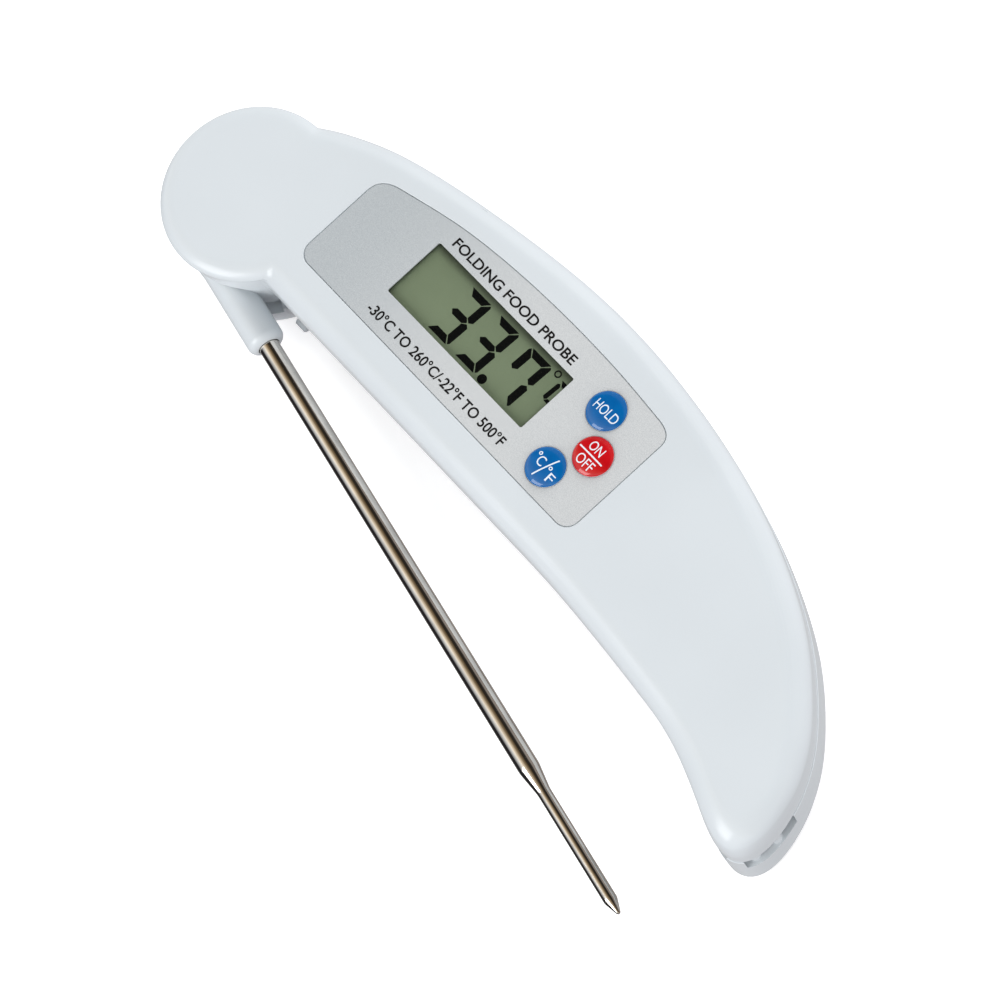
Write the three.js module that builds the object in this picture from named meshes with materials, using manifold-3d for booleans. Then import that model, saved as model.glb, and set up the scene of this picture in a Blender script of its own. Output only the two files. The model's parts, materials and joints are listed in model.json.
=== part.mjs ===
// Folding digital meat thermometer: a curved two-shell handle, a display with three keys,
// and a stainless probe on a tangential arm that swings round a hub at the head.
// Frame: +X along the handle towards its tail, +Y towards the convex edge, +Z out of the display
// face. The origin is on the flat back, under the centre of the display. Millimetres.
import * as THREE from 'three';
import { mergeVertices } from 'three/addons/utils/BufferGeometryUtils.js';
import Module from 'manifold-3d';

const wasm = await Module();
wasm.setup();

// ---- Driving dimensions -------------------------------------------------------------------
const THICKNESS = 19;
const SEAM_Z = 10;
const SHELL_GAP = 0.05;
const WALL = 1.9;
const FLOOR = 2;
const LEDGE = 0.15; // the front shell stands this far inside the rear one, all round the seam
const FRONT_ROUND = 4;
const REAR_ROUND = 1.6;
const TAIL_ROUND = 3.1; // the front rounding shrinks to this round the narrow tail
const ROUND_STEPS = 3;
const OUTLINE_POINTS = 80;
const HEAD_SEGMENTS = 48;

const PIVOT = new THREE.Vector2(-47.9, -10.9);
const HEAD_R = 15.7;
const HEAD_ROUND = 1.8;
const CAP_Z = 17; // the head's cap overhangs its collar below this height
const COLLAR_R = 14.6;
const REAR_DISC_R = 14.9;
const REAR_DISC_ROUND = 2.4;
const SKIRT_Z = 11.5;
const REAR_DISC_Z = 4.4;
const TAIL_OPENING_Z = 6.7;
const TAIL_RIBS = [[91.9, -20.7], [91.6, -25]];
const POCKET_R = 15;
const HEAD_CAVITY_R = 13.4;
const BRIDGE_Z = 12.7; // the wall round the hub pocket reaches up to here

const REST_ANGLE = -10.46; // degrees from +X, as the probe stands at rest
const HUB_R = 14.4;
const HUB_BOTTOM = 4.65;
const HUB_TOP = 11.3;
const HUB_FLOOR = 1.7;
const HUB_WALL = 1.8;
const SLEEVE_R = 5.2;
const JOURNAL_R = 3.4;
const RUNNING_GAP = 0.05;
const BOSS_R = 6;
const ARM_R = 3.25;
const ARM_OFFSET = 11.25;
const ARM_Z = 8;
const ARM_LENGTH = 21.1;
const ARM_END_ROUND = 1.2;
const TUBE_START = 8.5;
const SEAL_START = 19.4;
const SEAL_END = 20.9;
const TUBE_R = 1.8;
const TIP_R = 1.15;
const MAIN_LENGTH = 87.1;
const SHOULDER_LENGTH = 4.6;
const THIN_LENGTH = 21;
const POINT_LENGTH = 2.7;

const LABEL = { left: -32.85, right: 35.65, bottom: -12.15, corner: 2.6 };
const LABEL_THICKNESS = 0.26;
const LABEL_RECESS = 0.35;
const LABEL_GAP = 0.15;
const WINDOW = { x: 34, y: 11.65 };
const LCD_TOP = 18;
const LENS_GAP = 0.08; // between the display glass, the clear window and the label
const KEYS = [
  { name: 'hold', x: 24.9, y: 5.9, colour: 0x0068b5 },
  { name: 'power', x: 29.1, y: -0.7, colour: 0xc8101a },
  { name: 'unit', x: 24.9, y: -7.3, colour: 0x0068b5 },
];
const KEY_R = 3.4;
const KEY_HOLE_R = 3.5;
const KEY_FLANGE_R = 3.75;
const KEY_BOTTOM = 15.9;
const KEY_SHOULDER = 19;
const KEY_TOP = 19.9;

const BOARD = { x0: -31, x1: 34.4, y0: -12.9, y1: 9.6, z0: 11.5, z1: 12.5 };
const BOARD_POSTS = [[-28, -9.5], [-28, 5], [32.6, -10.5], [32.6, 7.6]];
const CASE_SCREWS = [[-16, 12.6], [-20, -15.8], [36.5, -15.9], [80, -14.5]];

const BATTERY = { x: 50, y: -3.1, r: 10, z0: 3.6, z1: 6.8 };
const COVER_R = 11.6;
const COVER_HOLE_R = 11.75;
const LUG_R = 12.8;
const LUG_Z = 2.15;
const COVER_TOP = 3.1;
const LUG_ANGLE = 24; // degrees that each of the three bayonet lugs spans
const HOLDER_R = 14.2;

const NUB = { x: -29.3, z: 5.2, width: 2.4, round: 0.8, proud: 0.55 };
const STRAIGHT_Y = -19.2;
const FOLDED_Y = PIVOT.y - ARM_OFFSET;

// ---- Colours ------------------------------------------------------------------------------
const finish = (color, roughness, metalness = 0, extra = {}) =>
  new THREE.MeshStandardMaterial({ color, roughness, metalness, ...extra });
const WHITE_ABS = finish(0xdfe5e9, 0.3);
const SILVER_FILM = finish(0xc9cdd0, 0.4, 0.35);
const CLEAR = finish(0xe8eef0, 0.05, 0, { transparent: true, opacity: 0.3 });
const LCD_GREY = finish(0x79876c, 0.35);
const STEEL = finish(0xb9b5ae, 0.22, 1);
const SPRING_STEEL = finish(0xa9a9a6, 0.35, 1);
const BLACK_PLASTIC = finish(0x1b1c1e, 0.5);
const BLACK_RUBBER = finish(0x161616, 0.85);
const BOARD_GREEN = finish(0x1f5a34, 0.5);
const GREY_RUBBER = finish(0x55585a, 0.8);
const RED_WIRE = finish(0xb3161c, 0.5);
const BLACK_WIRE = finish(0x17181a, 0.5);
const WHITE_WIRE = finish(0xd8d8d4, 0.5);

// ---- Geometry helpers ---------------------------------------------------------------------
const radians = THREE.MathUtils.degToRad;

function solid(geometry) {
  const bare = geometry.clone();
  bare.deleteAttribute('normal');
  bare.deleteAttribute('uv');
  const merged = mergeVertices(bare, 1e-4);
  const points = new Float32Array(merged.attributes.position.array);
  const corners = [];
  const index = merged.index.array;
  for (let i = 0; i < index.length; i += 3) {
    const [a, b, c] = [index[i], index[i + 1], index[i + 2]];
    if (a !== b && b !== c && a !== c) corners.push(a, b, c);
  }
  const triVerts = new Uint32Array(corners);
  return new wasm.Manifold(new wasm.Mesh({ numProp: 3, vertProperties: points, triVerts }));
}

function geometryOf(manifold) {
  const mesh = manifold.getMesh();
  const geometry = new THREE.BufferGeometry();
  geometry.setAttribute('position', new THREE.BufferAttribute(new Float32Array(mesh.vertProperties), 3));
  geometry.setIndex(new THREE.BufferAttribute(new Uint32Array(mesh.triVerts), 1));
  geometry.computeVertexNormals();
  return geometry;
}

const join = (first, ...others) => others.reduce((sum, next) => sum.add(next), first);
const cut = (first, ...others) => others.reduce((rest, next) => rest.subtract(next), first);

function block(x0, x1, y0, y1, z0, z1) {
  const geometry = new THREE.BoxGeometry(x1 - x0, y1 - y0, z1 - z0);
  return solid(geometry.translate((x0 + x1) / 2, (y0 + y1) / 2, (z0 + z1) / 2));
}

function disc(x, y, r, z0, z1, segments = 32) {
  const geometry = new THREE.CylinderGeometry(r, r, z1 - z0, segments).rotateX(Math.PI / 2);
  return solid(geometry.translate(x, y, (z0 + z1) / 2));
}

// A turned piece: profile is a list of [radius, height], run anticlockwise, axis along +Z.
function turned(profile, segments = 32) {
  const points = profile.map(([r, h]) => new THREE.Vector2(r, h));
  return solid(new THREE.LatheGeometry(points, segments).rotateX(Math.PI / 2));
}

const ring = (x, y, inner, outer, z0, z1, segments = 32) =>
  cut(disc(x, y, outer, z0, z1, segments), disc(x, y, inner, z0 - 1, z1 + 1, segments));

function plate(shape, z0, z1, curveSegments = 6) {
  const geometry = new THREE.ExtrudeGeometry(shape, { depth: z1 - z0, bevelEnabled: false, curveSegments });
  return solid(geometry.translate(0, 0, z0));
}

// The points of a quarter round that turns from a wall into a face, as [inset, drop] pairs.
function quarterRound(radius, steps = ROUND_STEPS) {
  return Array.from({ length: steps + 1 }, (_, i) => {
    const angle = (i / steps) * Math.PI / 2;
    return [radius * (1 - Math.cos(angle)), radius * (1 - Math.sin(angle))];
  });
}

// A wire or pin along a smooth route through the given points.
function wire(points, r, steps) {
  const route = new THREE.CatmullRomCurve3(points.map((p) => new THREE.Vector3(...p)));
  const section = new THREE.Shape().absarc(0, 0, r, 0, Math.PI * 2);
  const settings = { extrudePath: route, steps, curveSegments: 4, bevelEnabled: false };
  return solid(new THREE.ExtrudeGeometry(section, settings));
}

// ---- Handle outline -----------------------------------------------------------------------
const TAIL_CENTRE = new THREE.Vector2(89.6, -25.2);
const TAIL_R = 4;

function handleOutline() {
  const vectors = (list) => list.map(([x, y]) => new THREE.Vector2(x, y));
  const outline = new THREE.Path();
  outline.moveTo(-45, STRAIGHT_Y);
  outline.lineTo(-50, -5);
  outline.lineTo(-50, 4.9);
  outline.splineThru(vectors([
    [-44.4, 8.1], [-34.4, 12.1], [-18.8, 15.5], [1.9, 18.3], [17.6, 18.8], [32.7, 17.5], [47.3, 14.8],
    [61.3, 10.4], [74.7, 3.8], [85.8, -5.5], [91.3, -13.6], [93.5, -21], [93.6, -25.2],
  ]));
  outline.absarc(TAIL_CENTRE.x, TAIL_CENTRE.y, TAIL_R, 0, radians(-112), true);
  outline.splineThru(vectors([
    [84.5, -27.8], [80.2, -25.8], [75.8, -24], [71.2, -22.6], [66.5, -21.7], [57, -20.7], [47.3, -19.9],
    [38, -19.35], [30, STRAIGHT_Y],
  ]));
  outline.lineTo(-45, STRAIGHT_Y);
  const points = outline.getSpacedPoints(OUTLINE_POINTS);
  points.pop();
  return points;
}

const OUTLINE = handleOutline();
const INWARD = OUTLINE.map((_, i) => {
  const before = OUTLINE[(i + OUTLINE.length - 1) % OUTLINE.length];
  const after = OUTLINE[(i + 1) % OUTLINE.length];
  const along = after.clone().sub(before).normalize();
  return new THREE.Vector2(along.y, -along.x);
});
const isTail = (p) => 1 - THREE.MathUtils.smoothstep(p.distanceTo(TAIL_CENTRE), 6, 14);

// A body with the handle's outline, lofted through levels of {z, inset}: each gives the height
// and the inset of one outline point.
function lofted(levels) {
  const count = OUTLINE.length;
  const positions = [];
  for (const level of levels) {
    OUTLINE.forEach((p, i) => {
      const at = p.clone().addScaledVector(INWARD[i], level.inset(p));
      positions.push(at.x, at.y, level.z(p));
    });
  }
  const index = [];
  for (let k = 0; k + 1 < levels.length; k += 1) {
    for (let i = 0; i < count; i += 1) {
      const next = (i + 1) % count;
      const [a, b] = [k * count + i, k * count + next];
      const [c, d] = [a + count, b + count];
      index.push(a, c, b, b, c, d);
    }
  }
  const lastRow = (levels.length - 1) * count;
  const rim = (row) => OUTLINE.map((_, i) => new THREE.Vector2(
    positions[(row + i) * 3], positions[(row + i) * 3 + 1]));
  for (const [row, faceUp] of [[0, false], [lastRow, true]]) {
    const ordered = rim(row).reverse();
    for (const face of THREE.ShapeUtils.triangulateShape(ordered, [])) {
      const [a, b, c] = face.map((i) => row + count - 1 - i);
      index.push(...(faceUp ? [a, b, c] : [a, c, b]));
    }
  }
  const geometry = new THREE.BufferGeometry();
  geometry.setAttribute('position', new THREE.Float32BufferAttribute(positions, 3));
  geometry.setIndex(index);
  return solid(geometry);
}

const straightLoft = (inset, z0, z1) =>
  lofted([z0, z1].map((z) => ({ z: () => z, inset: () => inset })));

const unitRound = quarterRound(1);

function frontBody() {
  const round = (p) => THREE.MathUtils.lerp(FRONT_ROUND, TAIL_ROUND, isTail(p));
  const levels = unitRound.map(([inset, drop]) => ({
    z: (p) => THICKNESS - round(p) * drop,
    inset: (p) => LEDGE + round(p) * inset,
  }));
  return lofted([{ z: () => SEAM_Z + SHELL_GAP, inset: () => LEDGE }, ...levels]);
}

function rearBody() {
  const levels = quarterRound(REAR_ROUND).reverse().map(([inset, drop]) => ({
    z: () => drop,
    inset: () => inset,
  }));
  return lofted([...levels, { z: () => SEAM_Z, inset: () => 0 }]);
}

const aroundPivot = (manifold) => manifold.translate([PIVOT.x, PIVOT.y, 0]);

// The cavity of either shell stops short of the hub pocket, below the bridge.
const cavity = (z0, z1) => cut(
  straightLoft(WALL, z0, z1),
  disc(PIVOT.x, PIVOT.y, POCKET_R + WALL, z0 - 1, Math.min(z1, BRIDGE_Z), HEAD_SEGMENTS));

// The scoop that the folded arm lies in, and the groove and slot that hold the folded probe.
function foldedClearance() {
  const along = (r, x0, x1) => solid(new THREE.CylinderGeometry(r, r, x1 - x0, 24)
    .rotateZ(Math.PI / 2).translate((x0 + x1) / 2, FOLDED_Y, ARM_Z));
  const armScoop = along(ARM_R + 0.35, PIVOT.x, PIVOT.x + ARM_LENGTH + 0.6);
  const tubeGroove = along(TUBE_R + 0.4, 34, 68);
  const tipSlot = block(62, 90, -34, -20.4, ARM_Z - 1.8, SEAM_Z + 1);
  return join(armScoop, tubeGroove, tipSlot);
}

// ---- Front shell --------------------------------------------------------------------------
function labelOutline(grow) {
  const { left, right, bottom, corner } = LABEL;
  const [x0, x1, y0] = [left - grow, right + grow, bottom - grow];
  const top = [[31.9, 11], [20.8, 11.85], [8, 12], [-5, 11.35], [-17, 9.9], [-29.2, 7.2]];
  const rise = top.map(([x, y]) => new THREE.Vector2(x, y + grow));
  const shape = new THREE.Shape();
  shape.moveTo(x0 + corner, y0);
  shape.lineTo(x1 - corner, y0);
  shape.absarc(x1 - corner, y0 + corner, corner, -Math.PI / 2, 0, false);
  shape.lineTo(x1, 8.2);
  shape.quadraticCurveTo(x1, 10.8 + grow, rise[0].x, rise[0].y);
  shape.splineThru(rise.slice(1));
  shape.quadraticCurveTo(x0, 6.4 + grow, x0, 3.4);
  shape.lineTo(x0, y0 + corner);
  shape.absarc(x0 + corner, y0 + corner, corner, Math.PI, Math.PI * 1.5, false);
  return shape;
}

const windowBlock = (grow, z0, z1) => block(
  -WINDOW.x / 2 - grow, WINDOW.x / 2 + grow, -WINDOW.y / 2 - grow, WINDOW.y / 2 + grow, z0, z1);

function headDisc() {
  const rim = quarterRound(HEAD_ROUND, 3).map(([inset, drop]) => [HEAD_R - inset, THICKNESS - drop]);
  const collar = [[0, SKIRT_Z], [COLLAR_R, SKIRT_Z], [COLLAR_R, CAP_Z], [HEAD_R, CAP_Z]];
  return aroundPivot(turned([...collar, ...rim, [0, THICKNESS]], HEAD_SEGMENTS));
}

// The opening round the tail for the folded probe's tip: the rear shell's rim is low there, with two
// ribs left standing.
function tailOpening() {
  const ribs = TAIL_RIBS.map(([x, y]) => disc(x, y, 1.1, TAIL_OPENING_Z - 1, SEAM_Z + 2, 12));
  return cut(block(86, 99, -27.2, -16.6, TAIL_OPENING_Z, SEAM_Z + 1), ...ribs);
}

function frontShell() {
  const roof = THICKNESS - FLOOR;
  const shell = cut(
    join(frontBody(), headDisc()),
    cavity(SEAM_Z - 1, roof),
    disc(PIVOT.x, PIVOT.y, POCKET_R, SEAM_Z - 1, SKIRT_Z, HEAD_SEGMENTS),
    disc(PIVOT.x, PIVOT.y, HEAD_CAVITY_R, SKIRT_Z - 1, roof, 32),
    foldedClearance(),
    plate(labelOutline(LABEL_GAP), THICKNESS - LABEL_RECESS, THICKNESS + 1),
    windowBlock(0.9, roof - 1, THICKNESS),
    ...KEYS.map((item) => disc(item.x, item.y, KEY_HOLE_R, roof - 1, THICKNESS, 24)));
  const pivotBoss = join(
    disc(PIVOT.x, PIVOT.y, BOSS_R, 11.75, roof + 0.5),
    disc(PIVOT.x, PIVOT.y, JOURNAL_R, REAR_DISC_Z + 0.1, roof));
  const posts = BOARD_POSTS.map(([x, y]) => disc(x, y, 1.5, BOARD.z1 + 0.05, roof + 0.5, 16));
  const bosses = CASE_SCREWS.map(([x, y]) => disc(x, y, 2.4, SEAM_Z + SHELL_GAP, roof + 0.5, 20));
  return cut(
    join(shell, pivotBoss, ...posts, ...bosses),
    disc(PIVOT.x, PIVOT.y, 1.15, 0, 14, 16),
    ...BOARD_POSTS.map(([x, y]) => disc(x, y, 0.7, 0, 15.5, 12)),
    ...CASE_SCREWS.map(([x, y]) => disc(x, y, 0.95, 0, 15.5, 12)));
}

// ---- Rear shell ---------------------------------------------------------------------------
function lugRing(inner, outer, z0, z1, spanDegrees, startDegrees) {
  const sectors = [0, 120, 240].map((turn) => {
    const from = radians(startDegrees + turn - spanDegrees / 2);
    const to = radians(startDegrees + turn + spanDegrees / 2);
    const shape = new THREE.Shape();
    shape.absarc(0, 0, outer, from, to, false);
    shape.absarc(0, 0, inner, to, from, true);
    return plate(shape, z0, z1, 6);
  });
  return join(...sectors).translate([BATTERY.x, BATTERY.y, 0]);
}

function rearShell() {
  const discRim = quarterRound(REAR_DISC_ROUND, 3).reverse()
    .map(([inset, drop]) => [REAR_DISC_R - inset, drop]);
  const discProfile = [[0, 0], ...discRim, [REAR_DISC_R, REAR_DISC_Z], [0, REAR_DISC_Z]];
  const rearDisc = aroundPivot(turned(discProfile, HEAD_SEGMENTS));
  const nubHole = block(
    NUB.x - NUB.width / 2 - 0.1, NUB.x + NUB.width / 2 + 0.1,
    STRAIGHT_Y - 2, STRAIGHT_Y + WALL + 1, NUB.z - NUB.round - 0.1, NUB.z + NUB.round + 0.1);
  const shell = cut(
    join(rearBody(), rearDisc),
    cavity(FLOOR, SEAM_Z + 1),
    disc(PIVOT.x, PIVOT.y, POCKET_R, REAR_DISC_Z, SEAM_Z + 1, HEAD_SEGMENTS),
    foldedClearance(),
    tailOpening(),
    nubHole);
  const bosses = CASE_SCREWS.map(([x, y]) => disc(x, y, 2.9, FLOOR - 0.5, SEAM_Z - 0.1, 20));
  const upstand = ring(BATTERY.x, BATTERY.y, 13.1, HOLDER_R, FLOOR - 0.2, 3.25, 40);
  return cut(
    join(shell, ...bosses, upstand),
    disc(BATTERY.x, BATTERY.y, COVER_HOLE_R + 0.05, -1, COVER_TOP, 36),
    lugRing(COVER_R - 1, LUG_R + 0.2, -1, FLOOR + 0.1, LUG_ANGLE + 4, 75),
    disc(PIVOT.x, PIVOT.y, 3.2, -1, 1.9, 24),
    disc(PIVOT.x, PIVOT.y, 1.35, -1, REAR_DISC_Z + 1, 16),
    ...CASE_SCREWS.map(([x, y]) => disc(x, y, 2.2, -1, 2, 20)),
    ...CASE_SCREWS.map(([x, y]) => disc(x, y, 1.1, -1, SEAM_Z, 12)));
}

// ---- Display and keys ---------------------------------------------------------------------
function labelOverlay() {
  const z0 = THICKNESS - LABEL_RECESS + 0.01;
  return cut(
    plate(labelOutline(0), z0, z0 + LABEL_THICKNESS),
    windowBlock(0, z0 - 1, z0 + 1),
    ...KEYS.map((item) => disc(item.x, item.y, KEY_HOLE_R, z0 - 1, z0 + 1, 24)));
}

const lcdPanel = () => join(
  block(-19, 19, -8.2, 8.2, 15, 16.1),
  windowBlock(0.6, 16, LCD_TOP));

const lcdFrame = () => cut(
  block(-20.5, 20.5, -9.4, 9.4, BOARD.z1 + 0.1, THICKNESS - FLOOR - 0.1),
  block(-19.1, 19.1, -8.3, 8.3, 0, THICKNESS));

function key(at) {
  const dome = (KEY_TOP - KEY_SHOULDER);
  const ballR = (KEY_R ** 2 + dome ** 2) / (2 * dome);
  const steps = 3;
  const cap = Array.from({ length: steps }, (_, i) => {
    const r = KEY_R * (1 - i / steps);
    return [r, KEY_TOP - ballR + Math.sqrt(ballR ** 2 - r ** 2)];
  });
  const roof = THICKNESS - FLOOR;
  return turned([
    [0, KEY_BOTTOM], [KEY_FLANGE_R, KEY_BOTTOM], [KEY_FLANGE_R, roof - 0.1], [KEY_R, roof - 0.1],
    ...cap, [0, KEY_TOP],
  ], 24).translate([at.x, at.y, 0]);
}

const keySwitch = (at) => cut(
  block(at.x - 2.2, at.x + 2.2, at.y - 2.2, at.y + 2.2, BOARD.z1 + 0.05, 14.5),
  disc(at.x, at.y, 1.25, 12.8, 15, 20));
const keySwitchPlunger = (at) => disc(at.x, at.y, 1.15, 13.3, KEY_BOTTOM - 0.05, 20);

// ---- Screws -------------------------------------------------------------------------------
// A pan-head screw that points up, its driving recess in the lower face.
function screw(x, y, z, headR, headHeight, shankR, length) {
  const body = turned([
    [0, z], [headR - 0.3, z], [headR, z + 0.4], [headR, z + headHeight], [shankR, z + headHeight],
    [shankR, z + length - 0.8], [0, z + length],
  ], 12);
  const [slot, blade] = [headR * 0.6, headR * 0.13];
  const recess = join(
    block(-slot, slot, -blade, blade, z - 1, z + headHeight * 0.6),
    block(-blade, blade, -slot, slot, z - 1, z + headHeight * 0.6));
  return cut(body, recess).translate([x, y, 0]);
}

// ---- Battery ------------------------------------------------------------------------------
function batteryCover() {
  const { x, y } = BATTERY;
  const body = cut(
    disc(x, y, COVER_R, 0.1, COVER_TOP, 36),
    ring(x, y, COVER_R - 0.9, COVER_R + 1, 0.8, 1.6, 36),
    block(x - 7, x + 7, y - 0.9, y + 0.9, -1, 1.1),
    disc(x, y, 9.6, 1.9, COVER_TOP + 1, 32));
  return join(body, lugRing(COVER_R - 1, LUG_R, LUG_Z, COVER_TOP, LUG_ANGLE, 30));
}

function batteryHolder() {
  const { x, y } = BATTERY;
  return cut(
    disc(x, y, HOLDER_R, 3.35, 8.6, 40),
    disc(x, y, BATTERY.r + 0.35, 3, 7.6, 40),
    block(x - 2.2, x + 2.2, y - 2.2, y + 2.2, 7, 9),
    block(x - 16, x - 8, y - 2.2, y + 2.2, 4, 7.6),
    block(x - 12.8, x - 11.7, y - 1.8, y + 1.8, 7, 9));
}

const cell = () => turned([
  [0, 3.6], [9.6, 3.6], [10, 4], [10, 6.5], [9.2, 6.5], [8.9, 6.8], [0, 6.8],
], 36).translate([BATTERY.x, BATTERY.y, 0]);

// The centre contact: a foot in the holder's ceiling and a bowed leaf down to the cell.
function centreContact() {
  const { x, y } = BATTERY;
  return join(
    block(x - 1.8, x + 1.8, y - 1.6, y + 1.6, 8, 8.3),
    block(x + 1.5, x + 1.8, y - 1.6, y + 1.6, 7, 8.3),
    block(x - 1.2, x + 1.8, y - 1.6, y + 1.6, 6.9, 7.15));
}

// The edge contact: an upright strip that bears on the rim of the cell.
function edgeContact() {
  const { x, y } = BATTERY;
  return join(
    block(x - 12.4, x - 12.1, y - 1.6, y + 1.6, 4.2, 8.9),
    block(x - 12.4, x - 10.15, y - 1.6, y + 1.6, 4.2, 4.5),
    block(x - 10.4, x - 10.15, y - 1.6, y + 1.6, 4.2, 6.4));
}

// ---- Fold switch --------------------------------------------------------------------------
const foldSwitch = () => cut(
  block(NUB.x - 1.6, NUB.x + 2.8, -17, -11.5, FLOOR + 0.1, 7.6),
  block(NUB.x - NUB.width / 2 - 0.12, NUB.x + NUB.width / 2 + 0.12, -18, -13.6,
    NUB.z - NUB.round - 0.12, NUB.z + NUB.round + 0.12));

function foldSwitchPlunger() {
  const nose = STRAIGHT_Y - NUB.proud + NUB.round;
  const tip = new THREE.CylinderGeometry(NUB.round, NUB.round, NUB.width, 20).rotateZ(Math.PI / 2);
  return join(
    solid(tip.translate(NUB.x, nose, NUB.z)),
    block(NUB.x - NUB.width / 2, NUB.x + NUB.width / 2, nose, -14.6, NUB.z - NUB.round, NUB.z + NUB.round));
}

// ---- Probe, in its own frame: the hub's axis is Z through 0, 0 and the arm points along +X --
// A turned piece on the arm's axis: profile is a list of [radius, x].
const onArm = (profile, segments = 24) => turned(profile, segments)
  .rotate([0, 90, 0]).translate([0, -ARM_OFFSET, ARM_Z]);

function probeArm() {
  const inner = HUB_R - HUB_WALL;
  const cup = turned([
    [JOURNAL_R + RUNNING_GAP, HUB_BOTTOM], [HUB_R, HUB_BOTTOM], [HUB_R, HUB_TOP], [inner, HUB_TOP],
    [inner, HUB_BOTTOM + HUB_FLOOR], [SLEEVE_R, HUB_BOTTOM + HUB_FLOOR], [SLEEVE_R, HUB_TOP],
    [JOURNAL_R + RUNNING_GAP, HUB_TOP], [JOURNAL_R + RUNNING_GAP, HUB_BOTTOM],
  ], HEAD_SEGMENTS);
  const end = quarterRound(ARM_END_ROUND, 3).map(([inset, drop]) => [ARM_R - inset, ARM_LENGTH - drop]);
  const arm = onArm([[0, 0], [ARM_R, 0], ...end, [0, ARM_LENGTH]], 32);
  const tubeBore = onArm([[0, TUBE_START - 0.2], [1.95, TUBE_START - 0.2], [1.95, 30], [0, 30]]);
  const sealSeat = onArm([[0, SEAL_START - 0.2], [2.35, SEAL_START - 0.2], [2.35, 30], [0, 30]]);
  const leadHole = onArm([[0, -2], [1, -2], [1, TUBE_START], [0, TUBE_START]], 12);
  return cut(join(cup, arm), tubeBore, sealSeat, leadHole);
}

function probeTube() {
  const shoulder = ARM_LENGTH + MAIN_LENGTH;
  const thin = shoulder + SHOULDER_LENGTH;
  const point = thin + THIN_LENGTH;
  const [mainBore, thinBore] = [TUBE_R - 0.3, TIP_R - 0.3];
  return onArm([
    [mainBore, TUBE_START], [TUBE_R, TUBE_START], [TUBE_R, shoulder], [TIP_R, thin], [TIP_R, point],
    [TIP_R * 0.55, point + POINT_LENGTH * 0.75], [0, point + POINT_LENGTH], [0, point],
    [thinBore, point - 0.5], [thinBore, thin], [mainBore, shoulder], [mainBore, TUBE_START],
  ]);
}

const probeSeal = () => onArm([
  [1.9, SEAL_START], [2.25, SEAL_START], [2.25, SEAL_END], [1.9, SEAL_END], [1.9, SEAL_START]]);

function thermistor() {
  const end = ARM_LENGTH + MAIN_LENGTH + SHOULDER_LENGTH + THIN_LENGTH - 0.9;
  return onArm([[0, end - 2.6], [0.4, end - 2.4], [0.65, end - 1.6], [0.65, end - 0.5], [0, end]], 12);
}

function probeLead() {
  const end = ARM_LENGTH + MAIN_LENGTH + SHOULDER_LENGTH + THIN_LENGTH - 4;
  return wire([
    [end, -ARM_OFFSET, ARM_Z], [end * 0.6, -ARM_OFFSET, ARM_Z], [12, -ARM_OFFSET, ARM_Z],
    [3, -ARM_OFFSET, ARM_Z], [-3, -10.4, ARM_Z], [-7.6, -6.4, 8.2], [-9.2, -0.5, 8.8], [-8, 4, 9.6],
    [-5.5, 7, 10.4],
  ], 0.45, 30);
}

// ---- Leads inside the casing ------------------------------------------------------------------
const hubLead = () => wire([
  [-52, -2.6, 11.2], [-51, -0.6, 13.4], [-46, 1.4, 14.4], [-38, 1, 14], [-32, -1.4, 13.4],
  [-29.4, -2, 13.1],
], 0.45, 16);
const cellWire = (y, x0) => wire([
  [x0, y, 9.5], [x0 - 1.2, y, 9.8], [35.2, y, 10.6], [32.8, y, 10.85],
], 0.45, 8);

// ---- Assembly -----------------------------------------------------------------------------
const thermometer = new THREE.Group();
const probe = new THREE.Group();
probe.position.set(PIVOT.x, PIVOT.y, 0);
probe.rotation.z = radians(REST_ANGLE);
thermometer.add(probe);

function place(name, manifold, material, parent = thermometer) {
  const mesh = new THREE.Mesh(geometryOf(manifold), material);
  mesh.name = name;
  parent.add(mesh);
}

place('front_shell', frontShell(), WHITE_ABS);
place('rear_shell', rearShell(), WHITE_ABS);
place('label_overlay', labelOverlay(), SILVER_FILM);
const labelSeat = THICKNESS - LABEL_RECESS;
place('window_lens', windowBlock(0.8, LCD_TOP + LENS_GAP, labelSeat - LENS_GAP), CLEAR);
place('lcd_panel', lcdPanel(), LCD_GREY);
place('lcd_frame', lcdFrame(), WHITE_ABS);
place('zebra_strip', block(-16, 16, -7.6, -5.4, BOARD.z1 + 0.05, 14.95), GREY_RUBBER);

const boardBlock = block(BOARD.x0, BOARD.x1, BOARD.y0, BOARD.y1, BOARD.z0, BOARD.z1);
const boardHoles = BOARD_POSTS.map(([x, y]) => disc(x, y, 0.8, BOARD.z0 - 1, BOARD.z1 + 1, 12));
place('circuit_board', cut(boardBlock, ...boardHoles), BOARD_GREEN);
place('chip_encapsulant', turned([
  [0, 10], [2.2, 10.15], [3.6, 10.7], [4.1, BOARD.z0 - 0.05], [0, BOARD.z0 - 0.05],
], 24).translate([-10, 0, 0]), BLACK_PLASTIC);
BOARD_POSTS.forEach(([x, y], i) => {
  place(`board_screw_${i + 1}`, screw(x, y, 10.5, 1.4, BOARD.z0 - 10.55, 0.6, 4.2), STEEL);
});

for (const item of KEYS) {
  place(`${item.name}_button`, key(item), finish(item.colour, 0.15));
  place(`${item.name}_switch`, keySwitch(item), BLACK_PLASTIC);
  place(`${item.name}_switch_plunger`, keySwitchPlunger(item), WHITE_ABS);
}

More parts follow.
